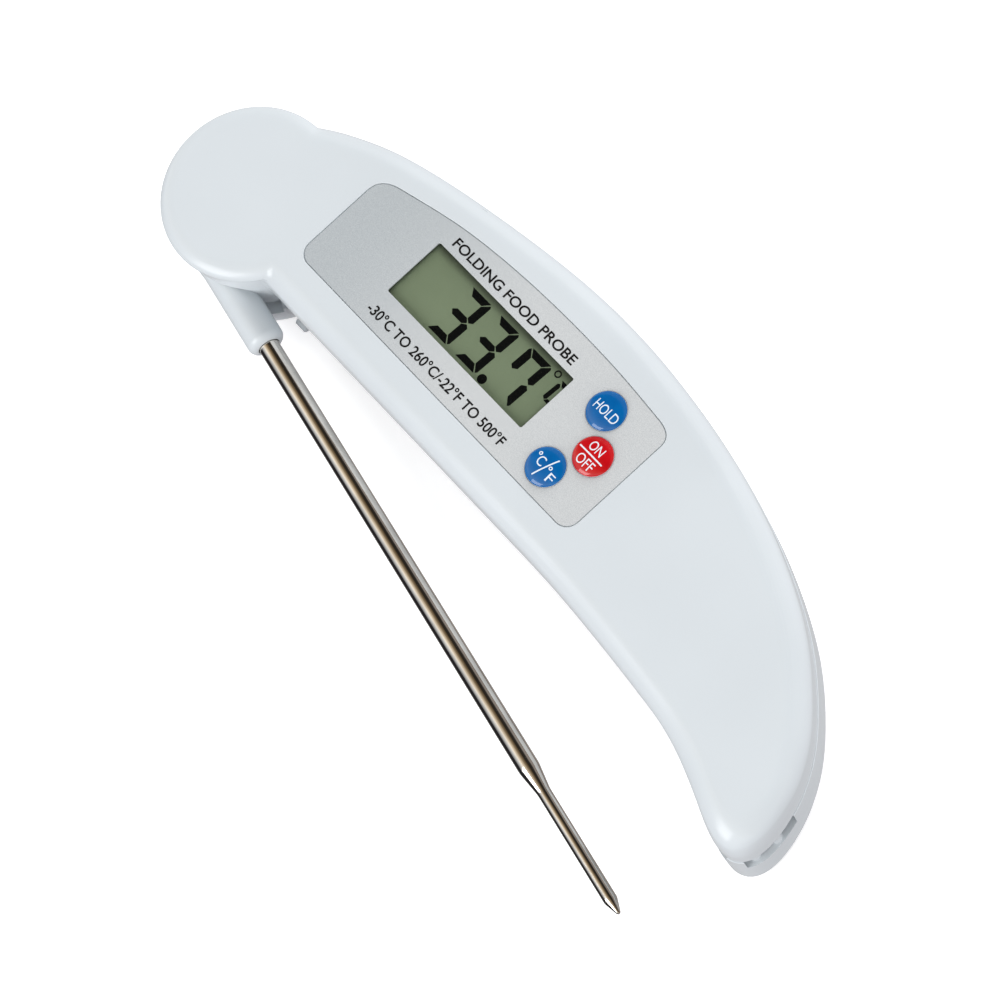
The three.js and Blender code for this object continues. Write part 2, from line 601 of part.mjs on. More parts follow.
CASE_SCREWS.forEach(([x, y], i) => {
  place(`case_screw_${i + 1}`, screw(x, y, 0.5, 1.95, 1.45, 0.85, 14), STEEL);
});
place('pivot_screw', screw(PIVOT.x, PIVOT.y, 0.4, 2.9, 1.45, 1.05, 12.8), STEEL);
place('pivot_friction_washer', ring(PIVOT.x, PIVOT.y, JOURNAL_R + 0.2, 5.3, 11.38, 11.68), SPRING_STEEL);

place('battery_cover', batteryCover(), WHITE_ABS);
place('battery_cover_seal', ring(BATTERY.x, BATTERY.y, COVER_R - 0.8, COVER_R + 0.05, 0.9, 1.5, 36),
  BLACK_RUBBER);
place('battery_holder', batteryHolder(), BLACK_PLASTIC);
place('battery_cell', cell(), STEEL);
place('centre_contact', centreContact(), SPRING_STEEL);
place('edge_contact', edgeContact(), SPRING_STEEL);
place('battery_wire_positive', cellWire(BATTERY.y + 0.9, BATTERY.x - 12.2), RED_WIRE);
place('battery_wire_negative', cellWire(BATTERY.y - 0.9, BATTERY.x - 0.4), BLACK_WIRE);

place('fold_switch', foldSwitch(), BLACK_PLASTIC);
place('fold_switch_plunger', foldSwitchPlunger(), WHITE_ABS);
place('hub_lead', hubLead(), WHITE_WIRE);

place('probe_arm', probeArm(), WHITE_ABS, probe);
place('probe_tube', probeTube(), STEEL, probe);
place('probe_seal', probeSeal(), GREY_RUBBER, probe);
place('thermistor', thermistor(), BLACK_PLASTIC, probe);
place('probe_lead', probeLead(), WHITE_WIRE, probe);

export default thermometer;
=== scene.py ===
"""Folding meat thermometer: the looks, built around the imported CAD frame.

Lengths are in millimetres up to solid_object(), which turns them into Blender's metres. The frame is
the CAD's: +X along the handle to its tail, +Y to the convex edge, +Z out of the display face.
"""
import json
import math

import bmesh
import bpy
import numpy as np
from mathutils import Matrix, Vector


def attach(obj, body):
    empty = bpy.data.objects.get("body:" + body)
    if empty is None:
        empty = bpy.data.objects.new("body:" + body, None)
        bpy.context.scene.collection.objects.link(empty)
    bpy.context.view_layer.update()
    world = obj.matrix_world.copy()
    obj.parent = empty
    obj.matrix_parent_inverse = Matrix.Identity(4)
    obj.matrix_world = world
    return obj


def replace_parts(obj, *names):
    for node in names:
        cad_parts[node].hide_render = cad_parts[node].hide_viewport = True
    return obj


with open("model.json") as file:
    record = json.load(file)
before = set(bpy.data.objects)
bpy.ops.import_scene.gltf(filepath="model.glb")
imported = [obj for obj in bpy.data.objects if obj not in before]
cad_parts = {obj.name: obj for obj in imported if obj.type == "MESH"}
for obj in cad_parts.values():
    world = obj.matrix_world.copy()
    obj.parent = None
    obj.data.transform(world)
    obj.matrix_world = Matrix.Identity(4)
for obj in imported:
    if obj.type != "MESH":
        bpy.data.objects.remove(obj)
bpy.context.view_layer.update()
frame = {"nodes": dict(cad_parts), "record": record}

MM = 0.001

# ---- Sizes: the CAD model's, and the finer rounds that only the looks have ----
THICKNESS = 19.0
SEAM_Z = 10.0
SHELL_GAP = 0.05
WALL = 1.9
FLOOR = 2.0
LEDGE = 0.15
FRONT_ROUND = 4.0
REAR_ROUND = 2.6
REAR_TIP_ROUND = 0.6
REAR_DRAFT = 0.5
TAIL_OPENING_Z = 6.7
TAIL_OPENING = (86, 99, -27.2, -16.6)
TAIL_RIB_R = 1.1
TAIL_RIBS = [(91.9, -20.7), (91.6, -25)]
TAIL_ROUND = 3.1
PIVOT = np.array([-47.9, -10.9])
HEAD_R = 15.7
CAP_PILLOW = 3.1
CAP_DROP = 1.9
CAP_CURL = 0.8
COLLAR_R = 14.85
REAR_DISC_R = 14.85
REAR_DISC_ROUND = 1.6
REAR_DISC_FLARE = 1.8
SKIRT_Z = 11.5
REAR_DISC_Z = 4.4
POCKET_R = 15.0
HEAD_CAVITY_R = 13.4
BRIDGE_Z = 12.7
STRAIGHT_Y = -19.2
TAIL_CENTRE = np.array([89.6, -25.2])
TAIL_R = 4.0

REST_ANGLE = math.radians(-10.46)
HUB_R = 14.7
HUB_BOTTOM = 4.65
HUB_TOP = 11.3
HUB_FLOOR = 1.7
HUB_WALL = 1.8
SLEEVE_R = 5.2
JOURNAL_R = 3.4
ARM_R = 3.25
ARM_OFFSET = 11.25
ARM_Z = 8.0
ARM_LENGTH = 21.1
ARM_END_ROUND = 1.4
TUBE_START = 8.5
TUBE_R = 1.8
TIP_R = 1.15
SHOULDER = ARM_LENGTH + 87.1
THIN = SHOULDER + 4.6
POINT = THIN + 21.0
POINT_LENGTH = 2.7

WINDOW = (34.0, 11.65)
LABEL_TOP = 18.92
LABEL_BOTTOM = 18.66
LCD_TOP = 18.0
KEYS = {"hold": (24.9, 5.9), "power": (29.1, -0.7), "unit": (24.9, -7.3)}
BATTERY = (50.0, -3.1)
COVER_R = 11.6
CASE_SCREWS = [(-16, 12.6), (-20, -15.8), (36.5, -15.9), (80, -14.5)]

def add_object(name, data):
    obj = bpy.data.objects.new(name, data)
    bpy.context.scene.collection.objects.link(obj)
    return obj


# ---- Camera ----
AIM = Vector((0.0238, -0.0162, 0.019))
DISTANCE = 0.6375
AZIMUTH, ELEVATION, ROLL = (math.radians(a) for a in (82.44, 67.6, -35.5))
LENS = 144.0


def make_camera():
    back = Vector((math.sin(AZIMUTH) * math.cos(ELEVATION), -math.cos(AZIMUTH) * math.cos(ELEVATION),
                   math.sin(ELEVATION)))
    level = Vector((math.cos(AZIMUTH), math.sin(AZIMUTH), 0))
    upright = back.cross(level)
    right = level * math.cos(ROLL) + upright * math.sin(ROLL)
    up = back.cross(right)
    data = bpy.data.cameras.new("photo_camera")
    data.lens = LENS
    data.sensor_width = 36.0
    camera = add_object("photo_camera", data)
    camera.matrix_world = Matrix.Translation(AIM + back * DISTANCE) @ Matrix(
        (right, up, back)).transposed().to_4x4()
    bpy.context.scene.camera = camera


make_camera()


# ---- Mesh helpers ----
def solid_object(name, vertices, faces):
    """A mesh object from millimetre vertices, its faces turned outwards."""
    mesh = bpy.data.meshes.new(name)
    mesh.from_pydata([tuple(float(c) * MM for c in v) for v in vertices], [], [tuple(f) for f in faces])
    made = bmesh.new()
    made.from_mesh(mesh)
    bmesh.ops.remove_doubles(made, verts=made.verts, dist=1e-7)
    bmesh.ops.recalc_face_normals(made, faces=made.faces)
    made.to_mesh(mesh)
    made.free()
    return add_object(name, mesh)


def quads(count, low, high):
    """The faces between two rings of points that start at low and at high."""
    return [(low + i, low + (i + 1) % count, high + (i + 1) % count, high + i) for i in range(count)]


def stacked(name, rings):
    """A closed body through rings of points, all of the same count, capped at both ends."""
    count = len(rings[0])
    vertices = np.concatenate(rings)
    faces = []
    for level in range(len(rings) - 1):
        faces += quads(count, level * count, (level + 1) * count)
    faces.append(tuple(range(count))[::-1])
    faces.append(tuple(range((len(rings) - 1) * count, len(rings) * count)))
    return solid_object(name, vertices, faces)


def at_height(points, z):
    return np.column_stack([points, np.full(len(points), float(z))])


def prism(name, outline, z0, z1):
    return stacked(name, [at_height(outline, z0), at_height(outline, z1)])


def circle(radius, centre=(0.0, 0.0), count=96):
    turn = np.linspace(0, 2 * math.pi, count, endpoint=False)
    return np.column_stack([centre[0] + radius * np.cos(turn), centre[1] + radius * np.sin(turn)])


def cylinder(name, centre, radius, z0, z1, count=96):
    return prism(name, circle(radius, centre, count), z0, z1)


def rectangle(x0, x1, y0, y1, corner=0.0, steps=6):
    if corner == 0:
        return np.array([(x0, y0), (x1, y0), (x1, y1), (x0, y1)], float)
    centres = [(x1 - corner, y0 + corner, -90), (x1 - corner, y1 - corner, 0),
               (x0 + corner, y1 - corner, 90), (x0 + corner, y0 + corner, 180)]
    points = []
    for cx, cy, start in centres:
        for angle in np.radians(np.linspace(start, start + 90, steps + 1)):
            points.append((cx + corner * math.cos(angle), cy + corner * math.sin(angle)))
    return np.array(points)


def revolved(name, profile, count=96, closed=False):
    """A turned body round +Z: profile is (radius, height) points, ending on the axis or closed."""
    turn = np.linspace(0, 2 * math.pi, count, endpoint=False)
    vertices = [(r * math.cos(a), r * math.sin(a), h) for r, h in profile for a in turn]
    rows = len(profile)
    faces = []
    for k in range(rows if closed else rows - 1):
        faces += quads(count, k * count, ((k + 1) % rows) * count)
    return solid_object(name, vertices, faces)


def boolean(target, cutter, operation="DIFFERENCE"):
    """Joins cutter to target or cuts it away, and removes the cutter."""
    modifier = target.modifiers.new("boolean", "BOOLEAN")
    modifier.operation = operation
    modifier.solver = "EXACT"
    modifier.object = cutter
    evaluated = target.evaluated_get(bpy.context.evaluated_depsgraph_get())
    result = bpy.data.meshes.new_from_object(evaluated)
    target.modifiers.clear()
    target.data = result
    bpy.data.objects.remove(cutter)
    return target


def tidy(obj, sharp=35.0):
    """Smooth shading that keeps real edges sharp."""
    made = bmesh.new()
    made.from_mesh(obj.data)
    bmesh.ops.remove_doubles(made, verts=made.verts, dist=2e-7)
    bmesh.ops.dissolve_degenerate(made, edges=made.edges, dist=2e-7)
    made.to_mesh(obj.data)
    made.free()
    obj.data.shade_smooth()
    obj.data.set_sharp_from_angle(angle=math.radians(sharp))
    weighted = obj.modifiers.new("weighted_normals", "WEIGHTED_NORMAL")
    weighted.keep_sharp = True
    weighted.weight = 50
    return obj


def settle(obj, body, material, slot, *replaced):
    """Gives a piece its material, its body, and the CAD nodes it stands for."""
    obj.data.materials.clear()
    obj.data.materials.append(material)
    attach(obj, body)
    if replaced:
        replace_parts(obj, *replaced)
    return obj


def quarter(radius, steps=6):
    """Points of a quarter round from a wall into a face, as (inset, drop) pairs."""
    return [(radius * (1 - math.cos(a)), radius * (1 - math.sin(a)))
            for a in np.linspace(0, math.pi / 2, steps + 1)]


# ---- Handle outline ----
def spline(points, steps=24):
    """A uniform Catmull-Rom curve through the points, as the CAD outline has."""
    p = np.array([points[0], *points, points[-1]], float)
    t = np.linspace(0, 1, steps, endpoint=False)[:, None]
    curve = []
    for a, b, c, d in zip(p, p[1:], p[2:], p[3:]):
        curve.append(0.5 * (2 * b + (c - a) * t + (2 * a - 5 * b + 4 * c - d) * t ** 2
                            + (3 * b - a - 3 * c + d) * t ** 3))
    return np.concatenate([*curve, [p[-1]]])


def handle_edge(count=620):
    """The handle's edge, clockwise from inside the head, round the tail and back, evenly spaced."""
    convex = spline([(-53, 2.6), (-50, 4.75), (-44.4, 8.1), (-34.4, 12.1), (-18.8, 15.5), (1.9, 18.3),
                     (17.6, 18.8), (32.7, 17.5), (47.3, 14.8), (61.3, 10.4), (74.7, 3.8), (85.8, -5.5),
                     (91.3, -13.6), (93.5, -21), (93.6, -25.2)])
    turn = np.radians(np.linspace(0, -112, 30))
    tail = TAIL_CENTRE + TAIL_R * np.column_stack([np.cos(turn), np.sin(turn)])
    concave = spline([tail[-1], (84.5, -27.8), (80.2, -25.8), (75.8, -24), (71.2, -22.6), (66.5, -21.7),
                      (57, -20.7), (47.3, -19.9), (38, -19.35), (30, STRAIGHT_Y)])
    rough = np.concatenate([convex, tail[1:-1], concave, [(-45, STRAIGHT_Y)]])
    return resample(rough, count)


def resample(points, count):
    length = np.concatenate([[0], np.cumsum(np.hypot(*np.diff(points, axis=0).T))])
    keep = np.concatenate([[True], np.diff(length) > 1e-6])
    even = np.linspace(0, length[-1], count)
    return np.column_stack([np.interp(even, length[keep], points[keep, k]) for k in (0, 1)])


def soften(points, radius):
    """The same open line with its small wobbles taken out."""
    kernel = np.exp(-0.5 * (np.arange(-12, 13) / radius) ** 2)
    kernel /= kernel.sum()
    padded = np.concatenate([
        2 * points[0] - points[12:0:-1], points, 2 * points[-1] - points[-2:-14:-1]])
    return np.column_stack([np.convolve(padded[:, k], kernel, "valid") for k in (0, 1)])


EDGE = soften(handle_edge(), 4.0)
ALONG = np.gradient(EDGE, axis=0)
ALONG /= np.linalg.norm(ALONG, axis=1)[:, None]
INWARD = np.column_stack([ALONG[:, 1], -ALONG[:, 0]])
TAIL_BACK = np.array([-0.5, 0.866])
TAIL_DISTANCE = np.linalg.norm(EDGE - TAIL_CENTRE, axis=1)
NEAR_TIP = np.exp(-0.5 * (TAIL_DISTANCE / 7.0) ** 2)
TAIL_LEAN, TAIL_LEAN_DEPTH = 3.6, 6.5


def round_inset(radius, rise):
    """How far a quarter round has moved in, at a height above where it starts."""
    up = np.clip(rise, 0, radius)
    return radius - np.sqrt(np.maximum(radius ** 2 - up ** 2, 0))


def smooth(share):
    share = np.clip(share, 0, 1)
    return share ** 2 * (3 - 2 * share)


IS_TAIL = 1 - smooth((TAIL_DISTANCE - 6) / 8)
CONCAVE = np.clip((INWARD[:, 1] - 0.3) / 0.4, 0, 1) * (1 - IS_TAIL)


def cap_radius(drop, angle):
    """The head's outline below its level face: a pillow edge, a curl under it, and the collar."""
    over = np.clip(1 - drop / CAP_DROP, 0, 1)
    under = np.clip((drop - CAP_DROP) / CAP_CURL, 0, 1)
    pillow = CAP_PILLOW * (1 - np.sqrt(1 - over ** 2))
    curl = (HEAD_R - COLLAR_R) * (1 - np.sqrt(1 - under ** 2))
    return np.full(np.shape(angle), HEAD_R - pillow - curl)


def rear_disc_radius(height, angle):
    """The rear disc swells towards the start of the handle's concave edge."""
    flare = REAR_DISC_FLARE * smooth((np.degrees(angle) % 360 - 283) / 36)
    return REAR_DISC_R + flare - round_inset(REAR_DISC_ROUND, REAR_DISC_ROUND - height)


def turn_about_pivot(points):
    return np.arctan2(points[:, 1] - PIVOT[1], points[:, 0] - PIVOT[0])


def shell_ring(hand, head_radius, fillet=0.18):
    """One closed outline of handle and head: hand is the handle's line, head_radius the head's."""
    away = np.linalg.norm(hand - PIVOT, axis=1) - head_radius(turn_about_pivot(hand))
    outside = np.flatnonzero(away > 0)
    first, last = outside[0], outside[-1]
    ends = []
    for inner, outer in ((first - 1, first), (last + 1, last)):
        inner = min(max(inner, 0), len(hand) - 1)
        share = -away[inner] / (away[outer] - away[inner] + 1e-9)
        ends.append(hand[inner] + (hand[outer] - hand[inner]) * np.clip(share, 0, 1))
    line = resample(np.concatenate([[ends[0]], hand[first:last + 1], [ends[1]]]), 560)
    start, stop = turn_about_pivot(np.array([ends[1], ends[0]]))
    stop = stop - 2 * math.pi if stop > start else stop
    sweep = np.linspace(start, stop, 171)[1:-1]
    arc = PIVOT + head_radius(sweep)[:, None] * np.column_stack([np.cos(sweep), np.sin(sweep)])
    return fillet_notches(np.concatenate([line, arc]), ends, fillet)


def front_ring(drop, seam=0.0):
    """The front shell's outline at a drop from its face; its top leans back at the tail."""
    radius = FRONT_ROUND * (1 - IS_TAIL) + TAIL_ROUND * IS_TAIL
    inset = LEDGE * (1 - CONCAVE) + seam + round_inset(radius, radius - drop)
    lean = NEAR_TIP * TAIL_LEAN * round_inset(1.0, 1.0 - drop / TAIL_LEAN_DEPTH)
    hand = EDGE + INWARD * inset[:, None] + TAIL_BACK * lean[:, None]
    return shell_ring(hand, lambda angle: cap_radius(drop, angle))


def rear_ring(height, seam=0.0):
    """The rear shell's outline at a height; its wall draws in below the seam on the concave side."""
    radius = REAR_ROUND * (1 - NEAR_TIP) + REAR_TIP_ROUND * NEAR_TIP
    draft = REAR_DRAFT * CONCAVE * (1 - height / SEAM_Z)
    inset = draft + seam * (1 - 0.7 * CONCAVE) + round_inset(radius, radius - height)
    return shell_ring(EDGE + INWARD * inset[:, None], lambda angle: rear_disc_radius(height, angle))


def fillet_notches(ring, notches, size):
    """Rounds the two inner corners where the head meets the handle."""
    for _ in range(2):
        smoothed = (np.roll(ring, 1, axis=0) + np.roll(ring, -1, axis=0)) / 2
        for notch in notches:
            weight = np.exp(-0.5 * (np.linalg.norm(ring - notch, axis=1) / size) ** 2)[:, None]
            ring = ring * (1 - weight) + smoothed * weight
            smoothed = (np.roll(ring, 1, axis=0) + np.roll(ring, -1, axis=0)) / 2
    return ring


def shell_levels(radius, steps=16):
    """Distances below the level face, close together where the round turns over."""
    return [radius * (1 - math.sin(a)) for a in np.linspace(0, math.pi / 2, steps + 1)]


def even_levels(levels, least=0.03):
    """The levels from the deepest up, without those that all but repeat another."""
    kept = []
    for level in sorted(levels, reverse=True):
        if not kept or kept[-1] - level > least:
            kept.append(level)
    return kept[:-1] + [0.0]


def cavity_cutter(name, z0, z1):
    """The hollow of a shell, stopping short of the hub pocket below the bridge."""
    ring = EDGE + INWARD * WALL
    body = prism(name, ring, z0, z1)
    boolean(body, cylinder("cut", PIVOT, POCKET_R + WALL, z0 - 1, min(z1 + 1, BRIDGE_Z)))
    return body


def notch_sector(name, z0, z1):
    """The space outside the hub pocket, all round the head except where the handle is."""
    upper = math.atan2(5.3 - PIVOT[1], -49.4 - PIVOT[0])
    lower = math.atan2(STRAIGHT_Y - 0.05 - PIVOT[1], -34.6 - PIVOT[0])
    sweep = np.linspace(lower, upper - 2 * math.pi, 90)
    unit = np.column_stack([np.cos(sweep), np.sin(sweep)])
    return prism(name, np.concatenate([PIVOT + 19 * unit, (PIVOT + 14.5 * unit)[::-1]]), z0, z1)


def along_x(name, radius, x0, x1, y, z, count=48):
    body = cylinder(name, (0, 0), radius, x0, x1, count)
    turn = Matrix.Rotation(math.radians(90), 4, "Y")
    body.data.transform(Matrix.Translation((0, y * MM, z * MM)) @ turn)
    return body


def folded_clearance(shell):
    """The scoop for the folded arm, the groove for the tube and the slot for the tip."""
    folded_y = PIVOT[1] - ARM_OFFSET
    boolean(shell, along_x("cut", ARM_R + 0.35, PIVOT[0], PIVOT[0] + ARM_LENGTH + 0.6, folded_y, ARM_Z))
    boolean(shell, along_x("cut", TUBE_R + 0.4, 34, 68, folded_y, ARM_Z))
    boolean(shell, prism("cut", rectangle(62, 90, -34, -20.4), ARM_Z - 1.8, SEAM_Z + 1))


# ---- Label outline ----
def label_outline(grow, count=400):
    left, right, bottom, corner = -32.85 - grow, 35.5 + grow, -12.15 - grow, 2.6

    def arc(cx, cy, start):
        angles = np.radians(np.linspace(start, start + 90, 16))
        return np.column_stack([cx + corner * np.cos(angles), cy + corner * np.sin(angles)])

    def bend(a, b, c):
        t = np.linspace(0, 1, 16)[:, None]
        a, b, c = (np.array(p, float) for p in (a, b, c))
        return (1 - t) ** 2 * a + 2 * (1 - t) * t * b + t ** 2 * c

    top = [(31.9, 10.85), (20.8, 11.65), (8, 11.85), (-5, 11.3), (-17, 9.9), (-29.2, 7.2)]
    rise = [(x, y + grow) for x, y in top]
    line = np.concatenate([
        arc(right - corner, bottom + corner, -90),
        bend((right, 8.2), (right, 10.6 + grow), rise[0]),
        spline(rise, 20)[1:-1],
        bend(rise[-1], (left, 6.3 + grow), (left, 3.3)),
        arc(left + corner, bottom + corner, 180)])
    return resample(np.concatenate([line, line[:1]]), count + 1)[:-1]


def window_outline(grow, corner=0.35):
    half_x, half_y = WINDOW[0] / 2 + grow, WINDOW[1] / 2 + grow
    return rectangle(-half_x, half_x, -half_y, half_y, corner)


# ---- Materials ----
class Paint:
    """A Principled material with procedural textures laid in the row frame."""

    def __init__(self, name, color, roughness, metallic=0.0, **sockets):
        self.material = bpy.data.materials.new(name)
        self.material.use_nodes = True
        self.tree = self.material.node_tree
        self.shader = self.tree.nodes["Principled BSDF"]
        self.shader.inputs["Base Color"].default_value = (*linear(color), 1)
        self.shader.inputs["Roughness"].default_value = roughness
        self.shader.inputs["Metallic"].default_value = metallic
        for socket, value in sockets.items():
            self.shader.inputs[socket.replace("_", " ")].default_value = value
        self.coordinates = self.tree.nodes.new("ShaderNodeTexCoord").outputs["Object"]

    def link(self, a, b):
        self.tree.links.new(a, b)

    def mapped(self, scale=(1, 1, 1), turn=0.0):
        node = self.tree.nodes.new("ShaderNodeMapping")
        node.inputs["Scale"].default_value = scale
        node.inputs["Rotation"].default_value = (0, 0, turn)
        self.link(self.coordinates, node.inputs["Vector"])
        return node.outputs["Vector"]

    def noise(self, size_mm, detail=3.0, stretch=(1, 1, 1), turn=0.0):
        node = self.tree.nodes.new("ShaderNodeTexNoise")
        node.inputs["Scale"].default_value = 1 / (size_mm * MM)
        node.inputs["Detail"].default_value = detail
        node.inputs["Distortion"].default_value = 0.0
        self.link(self.mapped(stretch, turn), node.inputs["Vector"])
        return node.outputs["Fac"]

    def ramp(self, value, stops):
        node = self.tree.nodes.new("ShaderNodeValToRGB")
        while len(node.color_ramp.elements) < len(stops):
            node.color_ramp.elements.new(0.5)
        for element, (place, color) in zip(node.color_ramp.elements, stops):
            element.position = place
            element.color = (*(linear(color) if len(color) == 3 else (color[0],) * 3), 1)
        self.link(value, node.inputs["Fac"])
        return node.outputs["Color"]

    def span(self, value, low, high):
        node = self.tree.nodes.new("ShaderNodeMapRange")
        node.inputs["From Min"].default_value = 0.3
        node.inputs["From Max"].default_value = 0.7
        node.inputs["To Min"].default_value = low
        node.inputs["To Max"].default_value = high
        self.link(value, node.inputs["Value"])
        return node.outputs["Result"]

    def blend(self, share, first, second):
        """Two colours mixed by a texture, or by a share that is the same all over."""
        node = self.tree.nodes.new("ShaderNodeMix")
        node.data_type = "RGBA"
        if isinstance(share, float):
            node.inputs["Factor"].default_value = share
        else:
            self.link(share, node.inputs["Factor"])
        for socket, value in (("A", first), ("B", second)):
            target = [s for s in node.inputs if s.name == socket and s.type == "RGBA"][0]
            if isinstance(value, tuple):
                target.default_value = (*linear(value), 1)
            else:
                self.link(value, target)
        return [s for s in node.outputs if s.type == "RGBA"][0]

    def along(self, axis, start_mm, end_mm):
        """0 to 1 between two places along an axis of the row frame, eased at both ends."""
        split = self.tree.nodes.new("ShaderNodeSeparateXYZ")
        self.link(self.coordinates, split.inputs["Vector"])
        node = self.tree.nodes.new("ShaderNodeMapRange")
        node.interpolation_type = "SMOOTHSTEP"
        node.inputs["From Min"].default_value = start_mm * MM
        node.inputs["From Max"].default_value = end_mm * MM
        self.link(split.outputs[axis], node.inputs["Value"])
        return node.outputs["Result"]

    def base(self, color):
        self.link(color, self.shader.inputs["Base Color"])

    def rough(self, value):
        self.link(value, self.shader.inputs["Roughness"])

    def bump(self, height, depth_mm):
        node = self.tree.nodes.new("ShaderNodeBump")
        node.inputs["Distance"].default_value = depth_mm * MM
        node.inputs["Strength"].default_value = 1.0
        self.link(height, node.inputs["Height"])
        previous = self.shader.inputs["Normal"]
        if previous.is_linked:
            self.link(previous.links[0].from_socket, node.inputs["Normal"])
        self.link(node.outputs["Normal"], previous)


WHITE = (207, 213, 217)


def linear(color):
    """sRGB 0 to 255 into the linear values that shaders take."""
    parts = [c / 255 for c in color]
    return tuple(c / 12.92 if c <= 0.04045 else ((c + 0.055) / 1.055) ** 2.4 for c in parts)


def white_abs():
    paint = Paint("white_abs", WHITE, 0.24, IOR=1.5)
    cloudy = paint.noise(28, 2)
    paint.base(paint.ramp(cloudy, [(0.3, tuple(c - 2 for c in WHITE)), (0.7, tuple(c + 2 for c in WHITE))]))
    paint.rough(paint.span(paint.noise(9, 4), 0.19, 0.26))
    paint.bump(paint.noise(0.35, 4), 0.002)
    paint.bump(paint.noise(6, 2), 0.008)
    return paint.material


def silver_film():
    """Silver ink with a fine sparkle, darker and bluer at the head's end of the label as painted shade, and
    lighter towards the tail as a painted reflection.
    """
    paint = Paint("silver_film", (196, 200, 203), 0.42, 0.1)
    flake = paint.noise(0.14, 1)
    patch = paint.noise(0.5, 4)
    # Painted shade and painted reflection: the head's end (left) darker and bluer, the tail's end (right)
    # lighter, blended along X.
    left = paint.ramp(flake, [(0.34, (160, 167, 172)), (0.5, (173, 180, 184)), (0.66, (188, 194, 197))])
    right = paint.ramp(flake, [(0.34, (190, 193, 195)), (0.5, (203, 206, 207)), (0.66, (217, 219, 220))])
    fine = paint.blend(paint.along("X", -30, 8), left, right)
    broad = paint.ramp(patch, [(0.3, (188, 193, 196)), (0.7, (204, 208, 210))])
    paint.base(paint.blend(0.25, fine, broad))
    paint.rough(paint.span(flake, 0.34, 0.5))
    paint.bump(flake, 0.004)
    return paint.material


def lcd_glass():
    """The reflective display, with painted shade from the rim of the window along its upper edge and both
    ends.
    """
    paint = Paint("display_glass", (121, 135, 108), 0.34, IOR=1.45)
    cloudy = paint.ramp(paint.noise(11, 3), [(0.3, (117, 131, 104)), (0.7, (122, 136, 109))])
    half_x, half_y = WINDOW[0] / 2, WINDOW[1] / 2
    # Painted shade: darker along the upper edge and the right end, less dark at the left end, where the
    # window's rim shades the display.
    upper = paint.along("Y", half_y - 1.7, half_y + 0.3)
    right = paint.along("X", half_x - 1.1, half_x + 0.4)
    left = paint.along("X", 0.4 - half_x, -half_x - 0.5)
    shaded = paint.blend(upper, cloudy, (62, 70, 56))
    shaded = paint.blend(right, shaded, (66, 74, 60))
    paint.base(paint.blend(left, shaded, (84, 94, 76)))
    paint.rough(paint.span(paint.noise(0.5, 3), 0.3, 0.38))
    paint.bump(paint.noise(0.3, 2), 0.001)
    return paint.material


def printed(name, color, roughness=0.45, specular=0.5):
    paint = Paint(name, color, roughness, Specular_IOR_Level=specular)
    speck = paint.noise(0.12, 3)
    lifted = tuple(min(255, c + 5) for c in color)
    paint.base(paint.ramp(speck, [(0.35, color), (0.75, lifted)]))
    paint.rough(paint.span(speck, roughness - 0.06, roughness + 0.06))
    paint.bump(speck, 0.002)
    return paint.material


def resin_key(name, color, deep):
    paint = Paint(name, color, 0.22, Specular_IOR_Level=0.1,
                  Coat_Weight=1.0, Coat_Roughness=0.03, Coat_IOR=1.5)
    paint.base(paint.ramp(paint.noise(2.4, 3), [(0.3, deep), (0.7, color)]))
    paint.rough(paint.span(paint.noise(0.5, 2), 0.18, 0.26))
    paint.bump(paint.noise(1.6, 2), 0.004)
    return paint.material


def drawn_steel(name, color, turn, roughness=(0.1, 0.2), stretch=(0.02, 1, 1)):
    paint = Paint(name, color, 0.15, 1.0)
    grain = paint.noise(0.09, 5, stretch, turn)
    haze = paint.noise(5, 3)
    dark = tuple(max(0, c - 22) for c in color)
    paint.base(paint.ramp(haze, [(0.25, dark), (0.6, color)]))
    paint.rough(paint.span(grain, *roughness))
    paint.bump(grain, 0.0012)
    return paint.material


def turned_steel(name, color):
    return drawn_steel(name, color, 0.0, (0.29, 0.4), (1, 1, 0.1))


def plain(name, color, roughness, grain_mm, depth_mm, metallic=0.0):
    paint = Paint(name, color, roughness, metallic)
    dark = tuple(max(0, c - 12) for c in color)
    texture = paint.noise(grain_mm, 4)
    paint.base(paint.ramp(texture, [(0.3, dark), (0.7, color)]))
    paint.rough(paint.span(paint.noise(grain_mm * 4, 3), roughness - 0.06, roughness + 0.06))
    paint.bump(texture, depth_mm)
    return paint.material


def board_laminate():
    paint = Paint("board_laminate", (31, 92, 52), 0.4)
    weave = paint.noise(0.5, 2, (1, 1, 0.2))
    tracks = paint.noise(2.2, 0, (1, 0.35, 1))
    green = paint.ramp(weave, [(0.35, (26, 80, 45)), (0.65, (34, 98, 58))])
    paint.base(paint.blend(paint.span(tracks, 0, 0.5), green, (58, 128, 74)))
    paint.bump(weave, 0.01)
    return paint.material


def clear_window():
    paint = Paint("clear_window", (40, 44, 44), 0.06, IOR=1.45, Alpha=0.04)
    paint.rough(paint.span(paint.noise(4, 3), 0.04, 0.08))
    return paint.material


